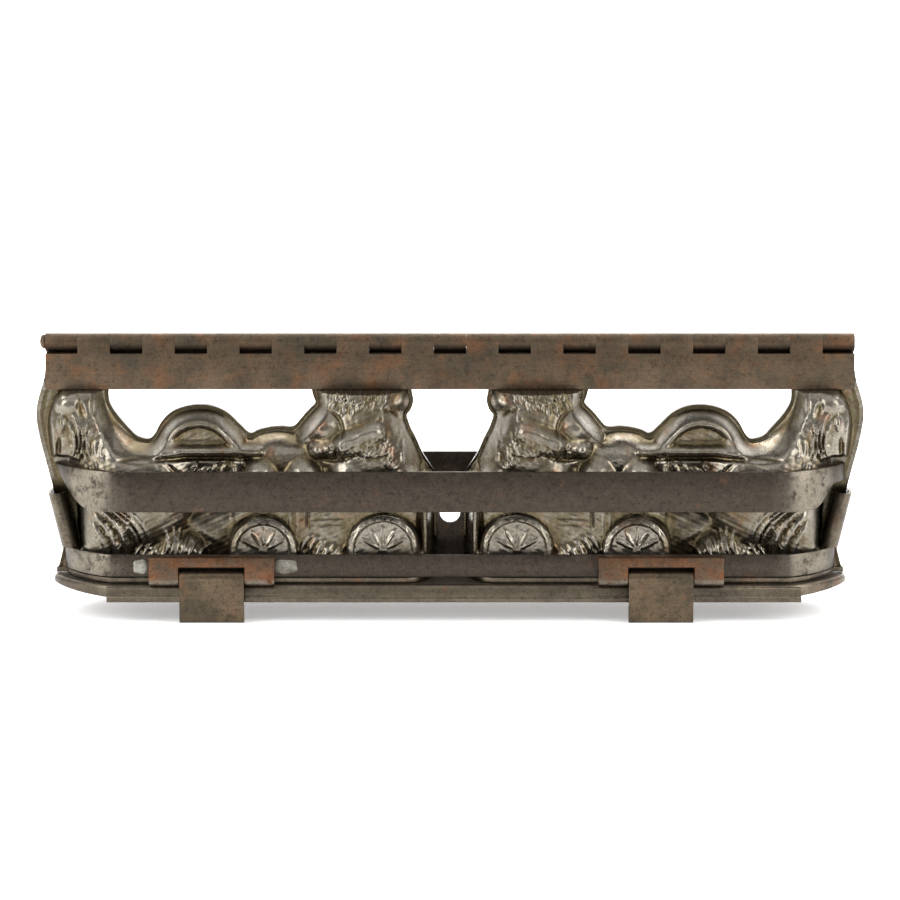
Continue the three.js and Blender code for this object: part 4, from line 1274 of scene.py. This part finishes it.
class MOULD_OT_base_plate(bpy.types.Operator):
    """Build the base plate with its rim and beaded lips"""

    bl_idname = "mould.base_plate"
    bl_label = "Base plate"
    bl_options = {"REGISTER", "UNDO"}

    def execute(self, context):
        top, low = drops("base_plate")
        # half the width of the plate's blunt ends, and how far forwards the tray reaches
        reach, blunt = reach_of("base_plate"), 3.0
        depth = FRONT_FACE["base_plate"] - 1.0

        def plan(inset):
            quarter = []
            for t in np.linspace(0, math.pi / 2, 22):
                along = math.sin(t) ** (2 / BEND)
                quarter.append((reach - PLATE_BEND + (PLATE_BEND - inset) * along,
                                blunt + (depth - inset - blunt) * float(depth_left(along))))
            right = quarter + [(x, -y) for x, y in reversed(quarter)]
            return right + [(-x, y) for x, y in reversed(right)]

        # the tray's section, how far in and how far below its top, with a foot that comes
        # lower towards the front and the rear
        foot = 2.8
        section = [(0, foot), (0, 1.2), (0.09, 0.74), (0.35, 0.35), (0.74, 0.09), (1.2, 0)]
        inside = [(1.9, 1.0), (1.35, 1.15), (1.0, 1.6), (1.0, foot)]
        made = tray("base_plate_tray", [
            [(x, y, -top - (z if z < foot else 1.9 + 2.1 * abs(y) / depth))
             for x, y in plan(inset)]
            for inset, z in section + inside], len(section))
        # the bead hangs a little lower than the solid's
        front, lowest, bead = -FRONT_FACE["base_plate"], -low - 0.8, 1.2
        outline = [(front + 1.5, -top - 0.6), (front + 0.9, -top - 0.8),
                   (front + 0.65, -top - 1.2)]
        outline += arc(bead, (front + bead, lowest + bead), math.radians(118),
                       math.radians(420), 22)
        for facing in (1, -1):
            lip = [(y * facing, z) for y, z in outline]
            cut(made, prism("lip", lip, -reach + 18.4, reach - 16.0, "X"), "UNION")
        dressed(made, "grey tin plate", "rear_half", ["base_plate"], edge=0.16)
        return {"FINISHED"}


class MOULD_OT_side_lugs(bpy.types.Operator):
    """Build the rolled lugs at both ends"""

    bl_idname = "mould.side_lugs"
    bl_label = "Side lugs"
    bl_options = {"REGISTER", "UNDO"}

    def execute(self, context):
        top, low = drops("side_lug_left")
        box_low, box_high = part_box("side_lug_left")
        outside = -box_low.x / MM
        back = box_high.y / MM - HINGE.y
        # the roll's half width, its depth and its sheet, and how far the foot leans in
        wide, deep, sheet, lean = 3.0, 5.1, 1.0, 4.2
        centre = (-outside + wide, -deep)

        def rolled(inset):
            return [(centre[0] + x * (wide - inset), centre[1] + y * (deep - inset))
                    for x, y in arc(1, (0, 0), math.pi, 2.05 * math.pi, 30)]

        plan = [(-outside, back), *rolled(0), *reversed(rolled(sheet)), (-outside + sheet, back)]
        for flip, hand in ((1, "left"), (-1, "right")):
            made = prism(f"side_lug_{hand}_rolled", [(x * flip, y) for x, y in plan],
                         -low, -top, "Z")
            for vertex in made.data.vertices:
                share = (-vertex.co.z / MM + HINGE.z - top) / (low - top)
                vertex.co.x += flip * lean * share * MM
            rounded(made, 0.2)
            # painted shade on the side that faces the shell
            layered(made, "painted_shade", lambda p: 0.8 * float(
                eased((outside - abs(p.x) - lean * (-p.z - top) / (low - top) - 2.2) / 4)))
            dressed(made, "grey tin plate", "front_half", [f"side_lug_{hand}"])
        return {"FINISHED"}


class MOULD_OT_latches(bpy.types.Operator):
    """Build the latch tabs, their pins and the spring latches"""

    bl_idname = "mould.latches"
    bl_label = "Latches"
    bl_options = {"REGISTER", "UNDO"}

    def execute(self, context):
        sheet, barrel, bore, pin_radius = 0.9, 2.4, 1.5, 1.3
        # half the opening for the latch, and how far the tab's rear side hangs down
        opening, rear_side = 10.6, 4.0
        for hand in ("left", "right"):
            low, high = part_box(f"latch_tab_{hand}")
            start, end = low.x / MM, high.x / MM
            face = low.y / MM - HINGE.y
            back = high.y / MM - HINGE.y
            top = high.z / MM - HINGE.z
            middle = (start + end) / 2
            pin = (face + barrel, low.z / MM - HINGE.z + barrel)
            curl = math.acos(-bore / barrel)
            outline = [(face, top - 0.6), *arc(barrel, pin, -math.pi, curl, 40)]
            outline += [(face + sheet, top - sheet - 0.3), (face + sheet + 0.3, top - sheet),
                        (back - sheet, top - sheet), (back - sheet, top - rear_side),
                        (back, top - rear_side), (back, top - 0.6), (back - 0.2, top - 0.2),
                        (back - 0.6, top), (face + 0.6, top), (face + 0.2, top - 0.2)]
            made = prism(f"latch_tab_{hand}_folded", outline, start, end, "X",
                         [circle(bore, 28, pin)])
            notch = [(middle - opening, face - 1), (middle + opening, face - 1),
                     (middle + opening, back - 0.95), (middle - opening, back - 0.95)]
            cut(made, prism("notch", notch, pin[1] - barrel - 1, pin[1] + 3.9, "Z"))
            rounded(made, 0.14)
            # a painted highlight of paler tin on the rolls round the pin
            layered(made, "worn", lambda p: float(eased((pin[1] + 0.4 - p.z) / 1.6)))
            dressed(made, "rusty tin plate", "front_half", [f"latch_tab_{hand}"])
            rod = prism(f"latch_pin_{hand}_rod", circle(pin_radius, 24, pin), start, end, "X")
            dressed(rod, "brown tin plate", "front_half", [f"latch_pin_{hand}"], edge=0.15)
            self.spring(hand, middle, face, pin, barrel, bore, sheet)
        return {"FINISHED"}

    def spring(self, hand, middle, face, pin, barrel, bore, sheet):
        """A latch: its barrel round the pin, its strip, and the hook under the base plate."""
        low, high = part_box(f"latch_{hand}")
        foot = low.z / MM - HINGE.z
        # how wide the hook is inside, and how high its end stands
        inside, hook = 1.3, 5.4
        turn = (2 * sheet + inside) / 2
        centre = (face + turn, foot + turn)
        curl = math.acos(-bore / barrel)
        outline = arc(turn, centre, math.pi, 2 * math.pi, 20)
        outline += [(face + 2 * turn, foot + hook), (face + 2 * turn - sheet, foot + hook)]
        outline += list(reversed(arc(turn - sheet, centre, math.pi, 2 * math.pi, 16)))
        outline += arc(barrel, pin, -curl, math.pi, 40)
        half = (high.x - low.x) / MM / 2
        made = prism(f"latch_{hand}_spring", outline, middle - half, middle + half, "X",
                     [circle(bore, 28, pin)])
        dressed(made, "spring strip", f"{hand}_latch", [f"latch_{hand}"], edge=0.16)


# Stage


class MOULD_OT_stage(bpy.types.Operator):
    """Build the floor, the lights and the camera"""

    bl_idname = "mould.stage"
    bl_label = "Stage"
    bl_options = {"REGISTER", "UNDO"}

    def execute(self, context):
        stage = context.scene.mould_stage
        self.floor(context)
        aim = Vector((0, HINGE.y * MM, stage.aim))
        back = Vector((0, -math.cos(stage.elevation), math.sin(stage.elevation)))
        data = bpy.data.cameras.new("camera")
        camera = linked("camera", data)
        camera.location = aim + back * stage.distance
        camera.rotation_euler = (math.pi / 2 - stage.elevation, 0, 0)
        data.sensor_width = 36
        data.lens = data.sensor_width * stage.distance / stage.width
        data.clip_start, data.clip_end = 0.05, 20
        context.scene.camera = camera
        # each light's place, what it faces, its size in metres and its power
        for name, place, target, size, power in (
            ("left light", (-0.75, -0.42, 0.42), aim, (0.5, 0.7), stage.side_light),
            ("right light", (0.75, -0.42, 0.42), aim, (0.5, 0.7), stage.side_light),
            ("top light", (0.0, -0.25, 0.95), aim, (1.8, 1.0), stage.top_light),
            ("backdrop light", (0.0, 0.45, 0.9), (0, 1.3, 0.1), (2.0, 0.3), stage.back_light),
        ):
            light = bpy.data.lights.new(name, "AREA")
            light.shape = "RECTANGLE"
            light.size, light.size_y = size
            light.energy = power
            made = linked(name, light)
            made.location = place
            facing = Vector(target) - Vector(place)
            made.rotation_euler = facing.to_track_quat("-Z", "Y").to_euler()
        world = bpy.data.worlds.new("room")
        context.scene.world = world
        world.use_nodes = True
        background = world.node_tree.nodes["Background"]
        background.inputs["Color"].default_value = (1, 1, 1, 1)
        background.inputs["Strength"].default_value = stage.world
        context.scene.view_settings.view_transform = "Standard"
        return {"FINISHED"}

    def floor(self, context):
        """A floor that turns up into a backdrop behind the mould."""
        material = bpy.data.materials.new("pale floor")
        material.use_nodes = True
        shader = material.node_tree.nodes["Principled BSDF"]
        shader.inputs["Base Color"].default_value = rgba(context.scene.mould_colours.floor)
        shader.inputs["Roughness"].default_value = 0.9
        # the floor glows a little, like a light table
        shader.inputs["Emission Color"].default_value = (1.0, 1.0, 1.0, 1.0)
        shader.inputs["Emission Strength"].default_value = 0.3
        front, back, sweep, height, side = -3.0, 0.9, 0.5, 2.5, 4.0
        rows = [(front, 0.0), (back, 0.0)]
        rows += [(back + sweep * math.sin(t), sweep - sweep * math.cos(t))
                 for t in np.linspace(0.1, math.pi / 2, 12)]
        rows.append((back + sweep, height))
        points = [(x, y, z) for y, z in rows for x in (-side, side)]
        faces = [(2 * k, 2 * k + 1, 2 * k + 3, 2 * k + 2) for k in range(len(rows) - 1)]
        mesh = bpy.data.meshes.new("floor")
        mesh.from_pydata(points, [], faces)
        mesh.materials.append(material)
        linked("floor", mesh)


class MOULD_PT_panel(bpy.types.Panel):
    """Sizes, colours and builders of the mould"""

    bl_idname = "MOULD_PT_panel"
    bl_label = "Chocolate mould"
    bl_space_type = "VIEW_3D"
    bl_region_type = "UI"
    bl_category = "Mould"

    def draw(self, context):
        for group in (context.scene.mould_sizes, context.scene.mould_colours,
                      context.scene.mould_stage):
            box = self.layout.box()
            for key in group.__annotations__:
                box.prop(group, key)
        for operator in OPERATORS:
            self.layout.operator(operator.bl_idname)


OPERATORS = (
    MOULD_OT_shells, MOULD_OT_hinge, MOULD_OT_bars, MOULD_OT_webs, MOULD_OT_base_plate,
    MOULD_OT_side_lugs, MOULD_OT_latches, MOULD_OT_stage,
)
GROUPS = {"mould_sizes": MouldSizes, "mould_colours": MouldColours, "mould_stage": MouldStage}


def register():
    for kind in (*GROUPS.values(), *OPERATORS, MOULD_PT_panel):
        bpy.utils.register_class(kind)
    for name, kind in GROUPS.items():
        setattr(bpy.types.Scene, name, bpy.props.PointerProperty(type=kind))


def unregister():
    for name in GROUPS:
        delattr(bpy.types.Scene, name)
    for kind in reversed((*GROUPS.values(), *OPERATORS, MOULD_PT_panel)):
        bpy.utils.unregister_class(kind)


def main():
    register()
    for operator in OPERATORS:
        family, verb = operator.bl_idname.split(".")
        getattr(getattr(bpy.ops, family), verb)()


if __name__ == "__main__":
    main()
